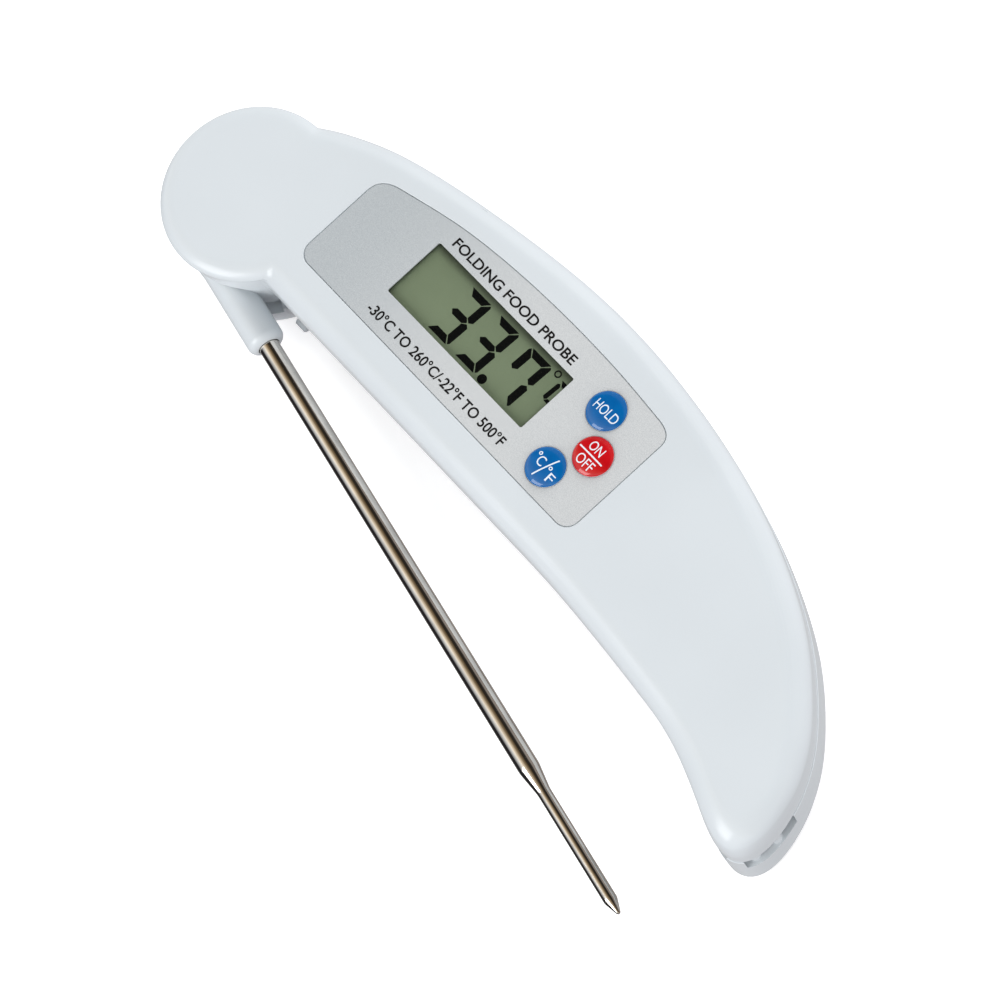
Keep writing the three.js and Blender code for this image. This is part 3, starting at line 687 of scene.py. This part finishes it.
MATERIALS = {
    "white_abs": white_abs(),
    "silver_film": silver_film(),
    "display_glass": lcd_glass(),
    "clear_window": clear_window(),
    "blue_key": resin_key("blue_key", (0, 98, 165), (0, 88, 154)),
    "red_key": resin_key("red_key", (196, 14, 24), (182, 8, 18)),
    "print_black": printed("print_black", (12, 12, 13), specular=0.2),
    "print_white": printed("print_white", (224, 231, 239), 0.36),
    "segment_black": printed("segment_black", (5, 6, 5), specular=0.05),
    "probe_steel": drawn_steel("probe_steel", (226, 221, 214), -REST_ANGLE, (0.06, 0.12)),
    "screw_steel": turned_steel("screw_steel", (188, 186, 182)),
    "spring_steel": turned_steel("spring_steel", (176, 176, 174)),
    "grey_rubber": plain("grey_rubber", (120, 122, 124), 0.7, 0.4, 0.01),
    "black_rubber": plain("black_rubber", (26, 26, 27), 0.75, 0.3, 0.01),
    "black_plastic": plain("black_plastic", (30, 31, 33), 0.5, 0.4, 0.01),
    "board_laminate": board_laminate(),
    "red_wire": plain("red_wire", (176, 26, 30), 0.45, 0.6, 0.004),
    "black_wire": plain("black_wire", (28, 28, 30), 0.45, 0.6, 0.004),
    "white_wire": plain("white_wire", (214, 214, 210), 0.45, 0.6, 0.004),
}


# ---- Shells ----
def cylinders(name, places, radius, z0, z1, count=64):
    """Several upright cylinders in one mesh, for one boolean."""
    made = [cylinder(name, place, radius, z0, z1, count) for place in places]
    return merged(made)


def merged(objects):
    """Several objects that don't touch, as one mesh."""
    whole = bmesh.new()
    for obj in objects:
        whole.from_mesh(obj.data)
    first = objects[0]
    whole.to_mesh(first.data)
    whole.free()
    for obj in objects[1:]:
        bpy.data.objects.remove(obj)
    return first


def front_shell():
    roof = THICKNESS - FLOOR
    depth = THICKNESS - SEAM_Z - SHELL_GAP
    curl = CAP_DROP + CAP_CURL * np.sin(np.linspace(0, math.pi / 2, 7))
    levels = {7.6, 6.8, 6.0, 5.3, 4.6, depth - 0.12, *shell_levels(FRONT_ROUND),
              *shell_levels(CAP_DROP, 9), *curl}
    drops = [depth, *even_levels(levels)]
    seams = [0.1] + [0.0] * (len(drops) - 1)
    rings = [at_height(front_ring(drop, seam), THICKNESS - drop) for drop, seam in zip(drops, seams)]
    shell = stacked("front_shell_moulding", rings)
    boolean(shell, cavity_cutter("cut", SEAM_Z - 1, roof))
    boolean(shell, cylinder("cut", PIVOT, POCKET_R, SEAM_Z - 1, SKIRT_Z))
    boolean(shell, notch_sector("cut", SEAM_Z - 1, SKIRT_Z))
    boolean(shell, cylinder("cut", PIVOT, HEAD_CAVITY_R, SKIRT_Z - 1, roof))
    folded_clearance(shell)
    lip = [(LABEL_BOTTOM - 0.01, 0.15), (18.87, 0.15), (18.93, 0.18), (18.98, 0.28), (19.02, 0.42)]
    recess = stacked("cut", [at_height(label_outline(grow), z) for z, grow in lip])
    boolean(shell, recess)
    boolean(shell, prism("cut", window_outline(0.9), roof - 1, THICKNESS))
    boolean(shell, cylinders("cut", KEYS.values(), 3.5, roof - 1, THICKNESS))
    boolean(shell, cylinders("add", CASE_SCREWS, 2.4, SEAM_Z + SHELL_GAP, roof + 0.5), "UNION")
    boss = cylinder("add", PIVOT, 6, 11.75, roof + 0.5)
    boolean(boss, cylinder("add", PIVOT, JOURNAL_R, REAR_DISC_Z + 0.1, roof), "UNION")
    boolean(shell, boss, "UNION")
    boolean(shell, cylinder("cut", PIVOT, 1.15, 0, 14, 32))
    boolean(shell, cylinders("cut", CASE_SCREWS, 0.95, 0, 15.5, 24))
    return settle(tidy(shell), "casing", MATERIALS["white_abs"], "white_abs", "front_shell")


def tail_opening():
    """The low stretch of the rear shell's rim round the tail, less the two ribs left standing in it."""
    opening = prism("cut", rectangle(*TAIL_OPENING), TAIL_OPENING_Z, SEAM_Z + 1)
    ribs = cylinders("rib", TAIL_RIBS, TAIL_RIB_R, TAIL_OPENING_Z - 1, SEAM_Z + 2, 32)
    return boolean(opening, ribs)


def lug_sectors(inner, outer, z0, z1, span, start):
    made = []
    for turn in (0, 120, 240):
        angles = np.radians(np.linspace(start + turn - span / 2, start + turn + span / 2, 14))
        unit = np.column_stack([np.cos(angles), np.sin(angles)])
        outline = np.array(BATTERY) + np.concatenate([outer * unit, (inner * unit)[::-1]])
        made.append(prism("sector", outline, z0, z1))
    return merged(made)


def rear_shell():
    heights = shell_levels(REAR_ROUND, 12)[::-1] + [4.4, 6.0, 8.0, SEAM_Z - 0.12, SEAM_Z]
    seams = [0.0] * (len(heights) - 1) + [0.1]
    rings = [at_height(rear_ring(height, seam), height) for height, seam in zip(heights, seams)]
    shell = stacked("rear_shell_moulding", rings)
    boolean(shell, cavity_cutter("cut", FLOOR, SEAM_Z + 1))
    boolean(shell, tail_opening())
    boolean(shell, cylinder("cut", PIVOT, POCKET_R, REAR_DISC_Z, SEAM_Z + 1))
    boolean(shell, notch_sector("cut", REAR_DISC_Z, SEAM_Z + 1))
    folded_clearance(shell)
    boolean(shell, prism("cut", rectangle(-30.6, -28.0, -21.2, -16.3), 4.3, 6.1))
    boolean(shell, cylinders("add", CASE_SCREWS, 2.9, FLOOR - 0.5, SEAM_Z - 0.1), "UNION")
    boolean(shell, cylinder("cut", BATTERY, COVER_R + 0.2, -1, 3.1, 128))
    boolean(shell, lug_sectors(COVER_R - 1, 13.0, -1, FLOOR + 0.1, 28, 75))
    boolean(shell, cylinder("cut", PIVOT, 3.2, -1, 1.9, 64))
    boolean(shell, cylinder("cut", PIVOT, 1.35, -1, REAR_DISC_Z + 1, 32))
    boolean(shell, cylinders("cut", CASE_SCREWS, 2.2, -1, 2, 48))
    boolean(shell, cylinders("cut", CASE_SCREWS, 1.1, -1, SEAM_Z, 24))
    return settle(tidy(shell), "casing", MATERIALS["white_abs"], "white_abs", "rear_shell")


# ---- Label, print and display ----
def label_overlay():
    lip = [(LABEL_BOTTOM, 0.0), (LABEL_TOP - 0.05, 0.0), (LABEL_TOP - 0.015, -0.015), (LABEL_TOP, -0.05)]
    label = stacked("label_film", [at_height(label_outline(grow), z) for z, grow in lip])
    opening = [(LABEL_BOTTOM - 1, 0.0), (LABEL_TOP - 0.04, 0.0), (LABEL_TOP + 0.05, 0.09)]
    boolean(label, stacked("cut", [at_height(window_outline(grow), z) for z, grow in opening]))
    boolean(label, cylinders("cut", KEYS.values(), 3.5, LABEL_BOTTOM - 1, LABEL_TOP + 1, 96))
    return settle(tidy(label), "casing", MATERIALS["silver_film"], "silver_film", "label_overlay")


def turned_about(flat, turn, centre):
    """Flat points turned about the origin and moved to centre."""
    spin = np.array([[math.cos(turn), math.sin(turn)], [-math.sin(turn), math.cos(turn)]])
    return flat @ spin + np.array(centre)


def lettering(name, text, height, centre, width=None, turn=0.0, weight=0.0):
    """Flat letters as a mesh in millimetres about centre, in Blender's own font."""
    curve = bpy.data.curves.new(name, "FONT")
    curve.body = text
    curve.size = 1.0
    curve.offset = weight
    curve.resolution_u = 6
    holder = add_object(name, curve)
    evaluated = holder.evaluated_get(bpy.context.evaluated_depsgraph_get())
    mesh = bpy.data.meshes.new_from_object(evaluated)
    bpy.data.objects.remove(holder)
    points = np.array([v.co[:2] for v in mesh.vertices])
    low, high = points.min(axis=0), points.max(axis=0)
    capital = 0.72
    scale_y = height / capital
    scale_x = scale_y if width is None else width / (high[0] - low[0])
    middle = np.array([(low[0] + high[0]) / 2, capital / 2])
    flat = turned_about((points - middle) * (scale_x, scale_y), turn, centre)
    for vertex, (x, y) in zip(mesh.vertices, flat):
        vertex.co = (x * MM, y * MM, 0)
    return add_object(name, mesh)


def thicken(obj, z, thickness=0.012):
    """Lifts flat letters to a height and gives them an ink film's thickness."""
    made = bmesh.new()
    made.from_mesh(obj.data)
    bmesh.ops.remove_doubles(made, verts=made.verts, dist=1e-7)
    for vertex in made.verts:
        vertex.co.z = z * MM
    extruded = bmesh.ops.extrude_face_region(made, geom=made.faces[:])
    for item in extruded["geom"]:
        if isinstance(item, bmesh.types.BMVert):
            item.co.z += thickness * MM
    bmesh.ops.recalc_face_normals(made, faces=made.faces)
    made.to_mesh(obj.data)
    made.free()
    return obj


def captions():
    upper = thicken(lettering("caption_upper", "FOLDING FOOD PROBE", 1.8, (-0.15, 7.85), 30.1, weight=0.017),
                    LABEL_TOP)
    settle(upper, "casing", MATERIALS["print_black"], "black_plastic")
    words = "-30°C TO 260°C/-22°F TO 500°F"
    lower = thicken(lettering("caption_lower", words, 1.85, (-0.05, -9.55), 34.0, weight=0.017), LABEL_TOP)
    settle(lower, "casing", MATERIALS["print_black"], "black_plastic")


# The seven segments of a digit on a unit cell: each is a polygon of (across, up) shares.
SEGMENT_UP, SEGMENT_ACROSS = 1.45, 1.25
DIGIT_W, DIGIT_H = 5.4, 9.8
SEGMENT_GAP = 0.14


def segment_shapes():
    w, h, u, t, g = DIGIT_W, DIGIT_H, SEGMENT_UP, SEGMENT_ACROSS, SEGMENT_GAP
    m, bar = h / 2, t / 2
    top = [(0.45, h), (w - 0.45, h), (w - u - 0.05, h - t), (u + 0.05, h - t)]
    middle = [(u * 0.5 + g, m), (u + g * 0.5, m + bar), (w - u - g * 0.5, m + bar), (w - u * 0.5 - g, m),
              (w - u - g * 0.5, m - bar), (u + g * 0.5, m - bar)]
    right_up = [(w - 0.28, h - 0.2), (w, h - 0.55), (w, m + t * 0.5), (w - u * 0.45, m + g),
                (w - u, m + t * 0.55), (w - u, h - t - g)]
    flip_x = lambda shape: [(w - x, y) for x, y in shape]
    flip_y = lambda shape: [(x, h - y) for x, y in shape]
    return {"a": top, "g": middle, "b": right_up, "f": flip_x(right_up), "d": flip_y(top),
            "c": flip_y(right_up), "e": flip_x(flip_y(right_up))}


def display_digits():
    """33.7 with its degree ring and the edge of the unit letter."""
    shapes = segment_shapes()
    slant = math.tan(math.radians(2.2))
    base_y = -5.1
    outlines = []
    for left, lit in ((-8.15, "abcdg"), (-1.1, "abcdg"), (7.0, "abcf")):
        for key in lit:
            outlines.append([(left + x + y * slant, base_y + y) for x, y in shapes[key]])
    outlines.append([tuple(p) for p in circle(0.85, (5.7, -4.75), 28)])
    edge = WINDOW[0] / 2 + 0.3
    outlines.append([(15.05, 0.5), (15.5, 0.15), (15.9, 0.5), (16.05, 3.3), (15.65, 3.75), (15.25, 3.5)])
    outlines.append([(15.45, 4.4), (edge, 4.4), (edge, 3.5), (16.2, 3.5)])
    outlines.append([(15.6, 0.0), (16.1, 0.6), (edge, 0.6), (edge, -0.1)])
    low, high = LCD_TOP + 0.002, LCD_TOP + 0.016
    pieces = [prism("segment", np.array(o), low, high) for o in outlines]
    ring = prism("segment", circle(0.66, (14.1, 4.6), 36), low, high)
    boolean(ring, cylinder("cut", (14.1, 4.6), 0.4, LCD_TOP - 1, LCD_TOP + 1, 36))
    digits = merged(pieces + [ring])
    digits.name = "display_segments"
    settle(digits, "casing", MATERIALS["segment_black"], "black_plastic")


def display():
    lower = prism("lcd_glass", rectangle(-19, 19, -8.2, 8.2, 0.2), 15, 16.1)
    lip = [(16.05, 0.6), (LCD_TOP - 0.06, 0.6), (LCD_TOP, 0.54)]
    boolean(lower, stacked("add", [at_height(window_outline(g), z) for z, g in lip]), "UNION")
    settle(tidy(lower), "casing", MATERIALS["display_glass"], "display_glass", "lcd_panel")
    lip = [(LCD_TOP + 0.08, 0.72), (LCD_TOP + 0.14, 0.8), (18.51, 0.8), (18.57, 0.72)]
    lens = stacked("window_clear", [at_height(window_outline(g), z) for z, g in lip])
    settle(tidy(lens), "casing", MATERIALS["clear_window"], "clear_window", "window_lens")


# ---- Keys ----
DOME_R = 3.42
DOME_Z = 19.02
DOME_TOP = 19.885


def dome_height(r):
    return DOME_Z + (DOME_TOP - DOME_Z) * (1 - np.clip(r / DOME_R, 0, 1) ** 2.6) ** 0.6


def key(name, place, slot_name, legend):
    body_name = f"{name}_key"
    stem = [(0, 15.9), (3.7, 15.9), (3.75, 15.95), (3.75, 16.85), (3.7, 16.9), (DOME_R + 0.02, 16.9),
            (DOME_R + 0.02, DOME_Z - 0.08), (DOME_R - 0.02, DOME_Z - 0.02), (0, DOME_Z - 0.02)]
    stem_obj = revolved(f"{name}_key_stem", stem, 72)
    radii = DOME_R * np.sin(np.linspace(math.pi / 2, 0, 22))
    dome_obj = revolved(f"{name}_key_dome", [(0, DOME_Z)] + [(r, float(dome_height(r))) for r in radii], 96)
    for obj, material, stood in ((stem_obj, "white_abs", (f"{name}_button",)), (dome_obj, slot_name, ())):
        obj.data.transform(Matrix.Translation((place[0] * MM, place[1] * MM, 0)))
        settle(tidy(obj, 50), body_name, MATERIALS[material], material, *stood)
    drape(legend, place)
    settle(legend, body_name, MATERIALS["print_white"], "white_abs")


def drape(obj, place, pitch=0.22):
    """Cuts flat letters finely and lays them on the key's dome."""
    made = bmesh.new()
    made.from_mesh(obj.data)
    for axis in (0, 1):
        for step in np.arange(-DOME_R, DOME_R, pitch):
            point, normal = [0.0, 0.0, 0.0], [0.0, 0.0, 0.0]
            point[axis] = (place[axis] + step) * MM
            normal[axis] = 1.0
            geometry = made.verts[:] + made.edges[:] + made.faces[:]
            bmesh.ops.bisect_plane(made, geom=geometry, plane_co=point, plane_no=normal, dist=1e-8)
    for vertex in made.verts:
        r = math.hypot(vertex.co.x / MM - place[0], vertex.co.y / MM - place[1])
        vertex.co.z = (float(dome_height(r)) + 0.006) * MM
    made.to_mesh(obj.data)
    made.free()
    obj.data.shade_smooth()


def stroke(name, centre, length, width, turn):
    half = np.array([(-length / 2, -width / 2), (length / 2, -width / 2), (length / 2, width / 2),
                     (-length / 2, width / 2)])
    return flat_object(name, turned_about(half, turn, centre))


def flat_object(name, outline, hole=None):
    mesh = bpy.data.meshes.new(name)
    if hole is None:
        mesh.from_pydata([(x * MM, y * MM, 0) for x, y in outline], [], [tuple(range(len(outline)))])
    else:
        count = len(outline)
        points = [*outline, *hole]
        mesh.from_pydata([(x * MM, y * MM, 0) for x, y in points], [], quads(count, 0, count))
    return add_object(name, mesh)


def ring_outline(name, centre):
    return flat_object(name, circle(0.34, centre, 24), circle(0.17, centre, 24))


def keys():
    hold = lettering("hold_legend", "HOLD", 1.85, (25.25, 5.82), 4.9)
    key("hold", KEYS["hold"], "blue_key", hold)
    power = merged([
        lettering("power_legend", "ON", 1.75, (28.9, 0.6), 2.75),
        lettering("power_legend_off", "OFF", 1.8, (29.15, -2.25), 3.5),
        stroke("power_bar", (28.9, -0.85), 5.3, 0.25, 0)])
    key("power", KEYS["power"], "red_key", power)
    unit = merged([
        lettering("unit_legend", "C", 1.8, (23.95, -7.1), 1.3),
        lettering("unit_legend_f", "F", 1.75, (27.15, -8.1), 1.1),
        ring_outline("unit_ring", (22.9, -6.3)),
        ring_outline("unit_ring_f", (26.05, -6.95)),
        stroke("unit_bar", (25.25, -7.4), 5.0, 0.24, math.radians(71))])
    key("unit", KEYS["unit"], "blue_key", unit)


# ---- Probe ----
def to_rest(obj):
    """From the probe's own frame (hub on Z, arm along +X) to its place at rest."""
    place = Matrix.Translation((PIVOT[0] * MM, PIVOT[1] * MM, 0))
    obj.data.transform(place @ Matrix.Rotation(REST_ANGLE, 4, "Z"))
    return obj


def on_arm(name, profile, count=96, closed=False):
    """A turned piece on the arm's axis: profile is (radius, distance along the arm)."""
    obj = revolved(name, profile, count, closed)
    obj.data.transform(Matrix.Translation((0, -ARM_OFFSET * MM, ARM_Z * MM)) @ Matrix.Rotation(
        math.radians(90), 4, "Y"))
    return obj


def probe_arm():
    inner, floor, edge = HUB_R - HUB_WALL, HUB_BOTTOM + HUB_FLOOR, 0.25
    bore = JOURNAL_R + 0.05
    cup = revolved("probe_arm_moulding", [
        (bore, HUB_BOTTOM), (HUB_R - edge, HUB_BOTTOM), (HUB_R, HUB_BOTTOM + edge), (HUB_R, HUB_TOP - edge),
        (HUB_R - edge, HUB_TOP), (inner, HUB_TOP), (inner, floor), (SLEEVE_R, floor), (SLEEVE_R, HUB_TOP),
        (bore, HUB_TOP)], 192, closed=True)
    end = [(ARM_R - i, ARM_LENGTH - d) for i, d in quarter(ARM_END_ROUND, 10)]
    boolean(cup, on_arm("add", [(0, 0), (ARM_R, 0), *end, (0, ARM_LENGTH)]), "UNION")
    mouth = [(0, TUBE_START - 0.2), (1.95, TUBE_START - 0.2), (1.95, ARM_LENGTH - 1.9),
             (2.3, ARM_LENGTH - 1.9), (2.3, ARM_LENGTH - 0.55), (1.92, ARM_LENGTH - 0.4),
             (1.95, ARM_LENGTH + 0.1), (0, ARM_LENGTH + 0.1)]
    boolean(cup, on_arm("cut", mouth))
    boolean(cup, on_arm("cut", [(0, -2), (1, -2), (1, TUBE_START), (0, TUBE_START)], 32))
    to_rest(cup)
    settle(tidy(cup), "probe", MATERIALS["white_abs"], "white_abs", "probe_arm")
    seal = [(1.84, ARM_LENGTH - 1.7), (2.27, ARM_LENGTH - 1.7), (2.27, ARM_LENGTH - 0.62),
            (1.84, ARM_LENGTH - 0.62)]
    ring = to_rest(on_arm("probe_seal_ring", seal, 96, closed=True))
    settle(tidy(ring), "probe", MATERIALS["grey_rubber"], "grey_rubber", "probe_seal")


def smooth_profile(points, window=1.2, steps=400):
    """The profile with its corners eased over a length, as a swaged tube has."""
    radii, places = np.array(points).T
    even = np.linspace(places[0], places[-1], steps)
    values = np.interp(even, places, radii)
    width = max(3, int(window / (even[1] - even[0])))
    kernel = np.hanning(width + 2)[1:-1]
    kernel /= kernel.sum()
    padded = np.pad(values, width, mode="edge")
    return list(zip(np.convolve(padded, kernel, "same")[width:-width], even))


def probe_tube():
    swage = [(TUBE_R, SHOULDER - 3), (TUBE_R, SHOULDER), (TIP_R, THIN), (TIP_R, THIN + 3)]
    outer = smooth_profile(swage, 1.6, 60)
    tip_end = POINT + POINT_LENGTH
    cone = [(TIP_R, POINT - 0.4), (TIP_R * 0.99, POINT), (TIP_R * 0.93, POINT + 0.3), (0.42, tip_end - 0.42),
            (0.33, tip_end - 0.22), (0.2, tip_end - 0.08), (0.08, tip_end - 0.015), (0, tip_end)]
    thin_bore, main_bore = TIP_R - 0.3, TUBE_R - 0.3
    inner = [(0, POINT), (thin_bore, POINT - 0.5), (thin_bore, THIN), (main_bore, SHOULDER)]
    profile = [(main_bore, TUBE_START), (TUBE_R, TUBE_START), *outer, *cone, *inner]
    tube = to_rest(on_arm("probe_tube_drawn", profile, 96, closed=True))
    settle(tidy(tube, 40), "probe", MATERIALS["probe_steel"], "probe_steel", "probe_tube")


# ---- Back of the casing and small parts ----
def screw(name, place, z, head_r, head_height, shank_r, length, slot_name="screw_steel"):
    profile = [(0, z), (head_r * 0.82, z), (head_r * 0.95, z + 0.12), (head_r, z + 0.35),
               (head_r, z + head_height), (shank_r, z + head_height), (shank_r, z + length - 0.8),
               (0, z + length)]
    body = revolved(name, profile, 64)
    body.data.transform(Matrix.Translation((place[0] * MM, place[1] * MM, 0)))
    long, wide = head_r * 0.6, head_r * 0.13
    for half_x, half_y in ((long, wide), (wide, long)):
        x0, x1, y0, y1 = place[0] - half_x, place[0] + half_x, place[1] - half_y, place[1] + half_y
        rings = [at_height(rectangle(x0 - g, x1 + g, y0 - g, y1 + g), h)
                 for h, g in ((z - 0.5, 0.02), (z + 0.05, 0.0), (z + head_height * 0.6, -0.06))]
        boolean(body, stacked("cut", rings))
    settle(tidy(body), "casing", MATERIALS[slot_name], slot_name)
    return body


def screws():
    for number, place in enumerate(CASE_SCREWS, 1):
        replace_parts(screw(f"case_screw_{number}_head", place, 0.5, 1.95, 1.45, 0.85, 14),
                    f"case_screw_{number}")
    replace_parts(screw("pivot_screw_head", tuple(PIVOT), 0.4, 2.9, 1.45, 1.05, 12.8), "pivot_screw")


def battery_door():
    x, y = BATTERY
    rim = [(0, 0.1), (COVER_R - 0.25, 0.1), (COVER_R - 0.07, 0.17), (COVER_R, 0.35), (COVER_R, 0.8),
           (COVER_R - 0.9, 0.8), (COVER_R - 0.9, 1.6), (COVER_R, 1.6), (COVER_R, 3.1), (9.6, 3.1),
           (9.6, 1.9), (0, 1.9)]
    cover = revolved("battery_cover_moulding", rim, 160)
    cover.data.transform(Matrix.Translation((x * MM, y * MM, 0)))
    half_length, half_width = 7.0, 0.9
    rings = [at_height(rectangle(x - half_length - g, x + half_length + g, y - half_width - g,
                                 y + half_width + g, half_width * 0.9 + g), z)
             for z, g in ((-0.5, 0.2), (0.12, 0.12), (0.3, 0.0), (1.1, 0.0))]
    boolean(cover, stacked("cut", rings))
    groove = cylinder("cut", BATTERY, COVER_R - 1.7, -0.5, 0.32, 128)
    boolean(groove, cylinder("cut", BATTERY, COVER_R - 2.1, -1, 1, 128))
    boolean(cover, groove)
    boolean(cover, lug_sectors(COVER_R - 1, 12.8, 2.15, 3.1, 24, 30), "UNION")
    settle(tidy(cover), "battery_door", MATERIALS["white_abs"], "white_abs", "battery_cover")


def fold_nub():
    """The plunger with its rounded nose, at the start of the concave edge."""
    width, half, nose, back = 2.4, 0.8, STRAIGHT_Y - 0.55, -14.6
    turn = np.radians(np.linspace(90, 270, 20))
    side = [(nose + half + half * math.cos(a), 5.2 + half * math.sin(a)) for a in turn]
    side = [(back, 4.4), (back, 6.0)] + side
    rings = []
    for x, shrink in ((-width / 2, 0.12), (-width / 2 + 0.12, 0), (width / 2 - 0.12, 0), (width / 2, 0.12)):
        centre = (nose + back) / 2
        across, up = 1 - shrink / 2.6, 1 - shrink / 0.8
        ring = [(-29.3 + x, centre + (py - centre) * across, 5.2 + (pz - 5.2) * up) for py, pz in side]
        rings.append(np.array(ring))
    nub = stacked("fold_nub", rings)
    settle(tidy(nub), "fold_plunger", MATERIALS["white_abs"], "white_abs", "fold_switch_plunger")


def keep_cad_nodes():
    """The inner parts stay as their CAD nodes, with procedural materials."""
    slots = {s["node"]: s["material_slot"] for s in frame["record"]["subparts"]}
    for name, obj in frame["nodes"].items():
        obj.data.materials.clear()
        obj.data.materials.append(MATERIALS[slots[name]])


# ---- Studio ----
def area_light(name, place, target, size, power, glossy=True):
    data = bpy.data.lights.new(name, "AREA")
    data.shape = "RECTANGLE"
    data.size, data.size_y = size
    data.energy = power
    lamp = add_object(name, data)
    lamp.location = Vector(place)
    lamp.rotation_euler = (Vector(target) - Vector(place)).to_track_quat("-Z", "Y").to_euler()
    lamp.visible_glossy = glossy


def studio():
    mesh = bpy.data.meshes.new("floor")
    half = 3.0
    mesh.from_pydata([(-half, -half, -0.0002), (half, -half, -0.0002), (half, half, -0.0002),
                      (-half, half, -0.0002)], [], [(0, 1, 2, 3)])
    floor = add_object("floor", mesh)
    paint = Paint("pale_floor", (242, 242, 242), 0.9, Specular_IOR_Level=0.1, Emission_Strength=0.4)
    paint.shader.inputs["Emission Color"].default_value = (1, 1, 1, 1)
    paint.base(paint.ramp(paint.noise(60, 2), [(0.3, (241, 241, 241)), (0.7, (244, 244, 244))]))
    mesh.materials.append(paint.material)
    floor.visible_glossy = False
    floor.visible_diffuse = False

    world = bpy.data.worlds.new("studio")
    bpy.context.scene.world = world
    world.use_nodes = True
    nodes, links = world.node_tree.nodes, world.node_tree.links
    nodes.clear()
    direction = nodes.new("ShaderNodeTexCoord").outputs["Generated"]
    split = nodes.new("ShaderNodeSeparateXYZ")
    links.new(direction, split.inputs["Vector"])
    turn = nodes.new("ShaderNodeMath")
    turn.operation = "ARCTAN2"
    links.new(split.outputs["Y"], turn.inputs[0])
    links.new(split.outputs["Z"], turn.inputs[1])

    def sky(value, low, high, stops):
        share = nodes.new("ShaderNodeMapRange")
        share.inputs["From Min"].default_value = low
        share.inputs["From Max"].default_value = high
        links.new(value, share.inputs["Value"])
        ramp = nodes.new("ShaderNodeValToRGB")
        while len(ramp.color_ramp.elements) < len(stops):
            ramp.color_ramp.elements.new(0.5)
        for element, (place, color) in zip(ramp.color_ramp.elements, stops):
            element.position = (place - low) / (high - low)
            element.color = (*color, 1)
        links.new(share.outputs["Result"], ramp.inputs["Fac"])
        background = nodes.new("ShaderNodeBackground")
        links.new(ramp.outputs["Color"], background.inputs["Color"])
        return background.outputs["Background"]

    mix = nodes.new("ShaderNodeMixShader")
    path = nodes.new("ShaderNodeLightPath")
    links.new(path.outputs["Is Glossy Ray"], mix.inputs["Fac"])
    links.new(sky(split.outputs["Z"], -1, 1, TENT), mix.inputs[1])
    bands = [(math.radians(angle), color) for angle, color in ROOM_BANDS]
    links.new(sky(turn.outputs["Value"], -math.pi, math.pi, bands), mix.inputs[2])
    output = nodes.new("ShaderNodeOutputWorld")
    links.new(mix.outputs["Shader"], output.inputs["Surface"])

    centre = (0.01, -0.01, 0)
    area_light("key_light", (-0.4, 0.9, 0.36), centre, (0.7, 0.7), KEY_POWER, glossy=False)
    area_light("side_light", (0.85, 0.15, 0.3), centre, (0.5, 0.5), SIDE_POWER, glossy=False)
    area_light("fill_light", (0.0, -0.8, 0.5), centre, (0.6, 0.6), FILL_POWER)
    view = bpy.context.scene.view_settings
    view.view_transform = "Standard"
    view.look = "None"


KEY_POWER = 8.0
FILL_POWER = 5.0
SIDE_POWER = 2.0
# The soft light all round, by the height of its direction: bright low down, dim from below.
TENT = [
    (-1, (0.14, 0.12, 0.14)), (-0.4, (0.3, 0.27, 0.3)), (-0.02, (0.7, 0.68, 0.7)),
    (0.02, (1.42, 1.42, 1.43)), (1, (0.25, 0.25, 0.25)),
]
# The room that polished surfaces mirror, by angle from straight up, positive towards +Y: a strip
# light that falls off warmly, a dark card, and a grey room: (degrees, colour).
ROOM_BANDS = [
    (-180, (0.45, 0.44, 0.44)), (-152, (0.4, 0.39, 0.39)), (-140, (0.02, 0.02, 0.02)),
    (-90, (0.02, 0.02, 0.025)), (-60, (0.75, 0.77, 0.8)), (-42, (1.15, 1.1, 1.0)),
    (-30, (0.9, 0.78, 0.6)), (-8, (0.3, 0.22, 0.13)), (14, (0.03, 0.022, 0.015)),
    (36, (0.03, 0.028, 0.025)), (46, (0.33, 0.3, 0.28)), (110, (0.26, 0.22, 0.2)),
    (152, (0.4, 0.39, 0.39)), (180, (0.45, 0.44, 0.44)),
]

keep_cad_nodes()
front_shell()
rear_shell()
label_overlay()
captions()
display()
display_digits()
keys()
probe_arm()
probe_tube()
screws()
battery_door()
fold_nub()
studio()
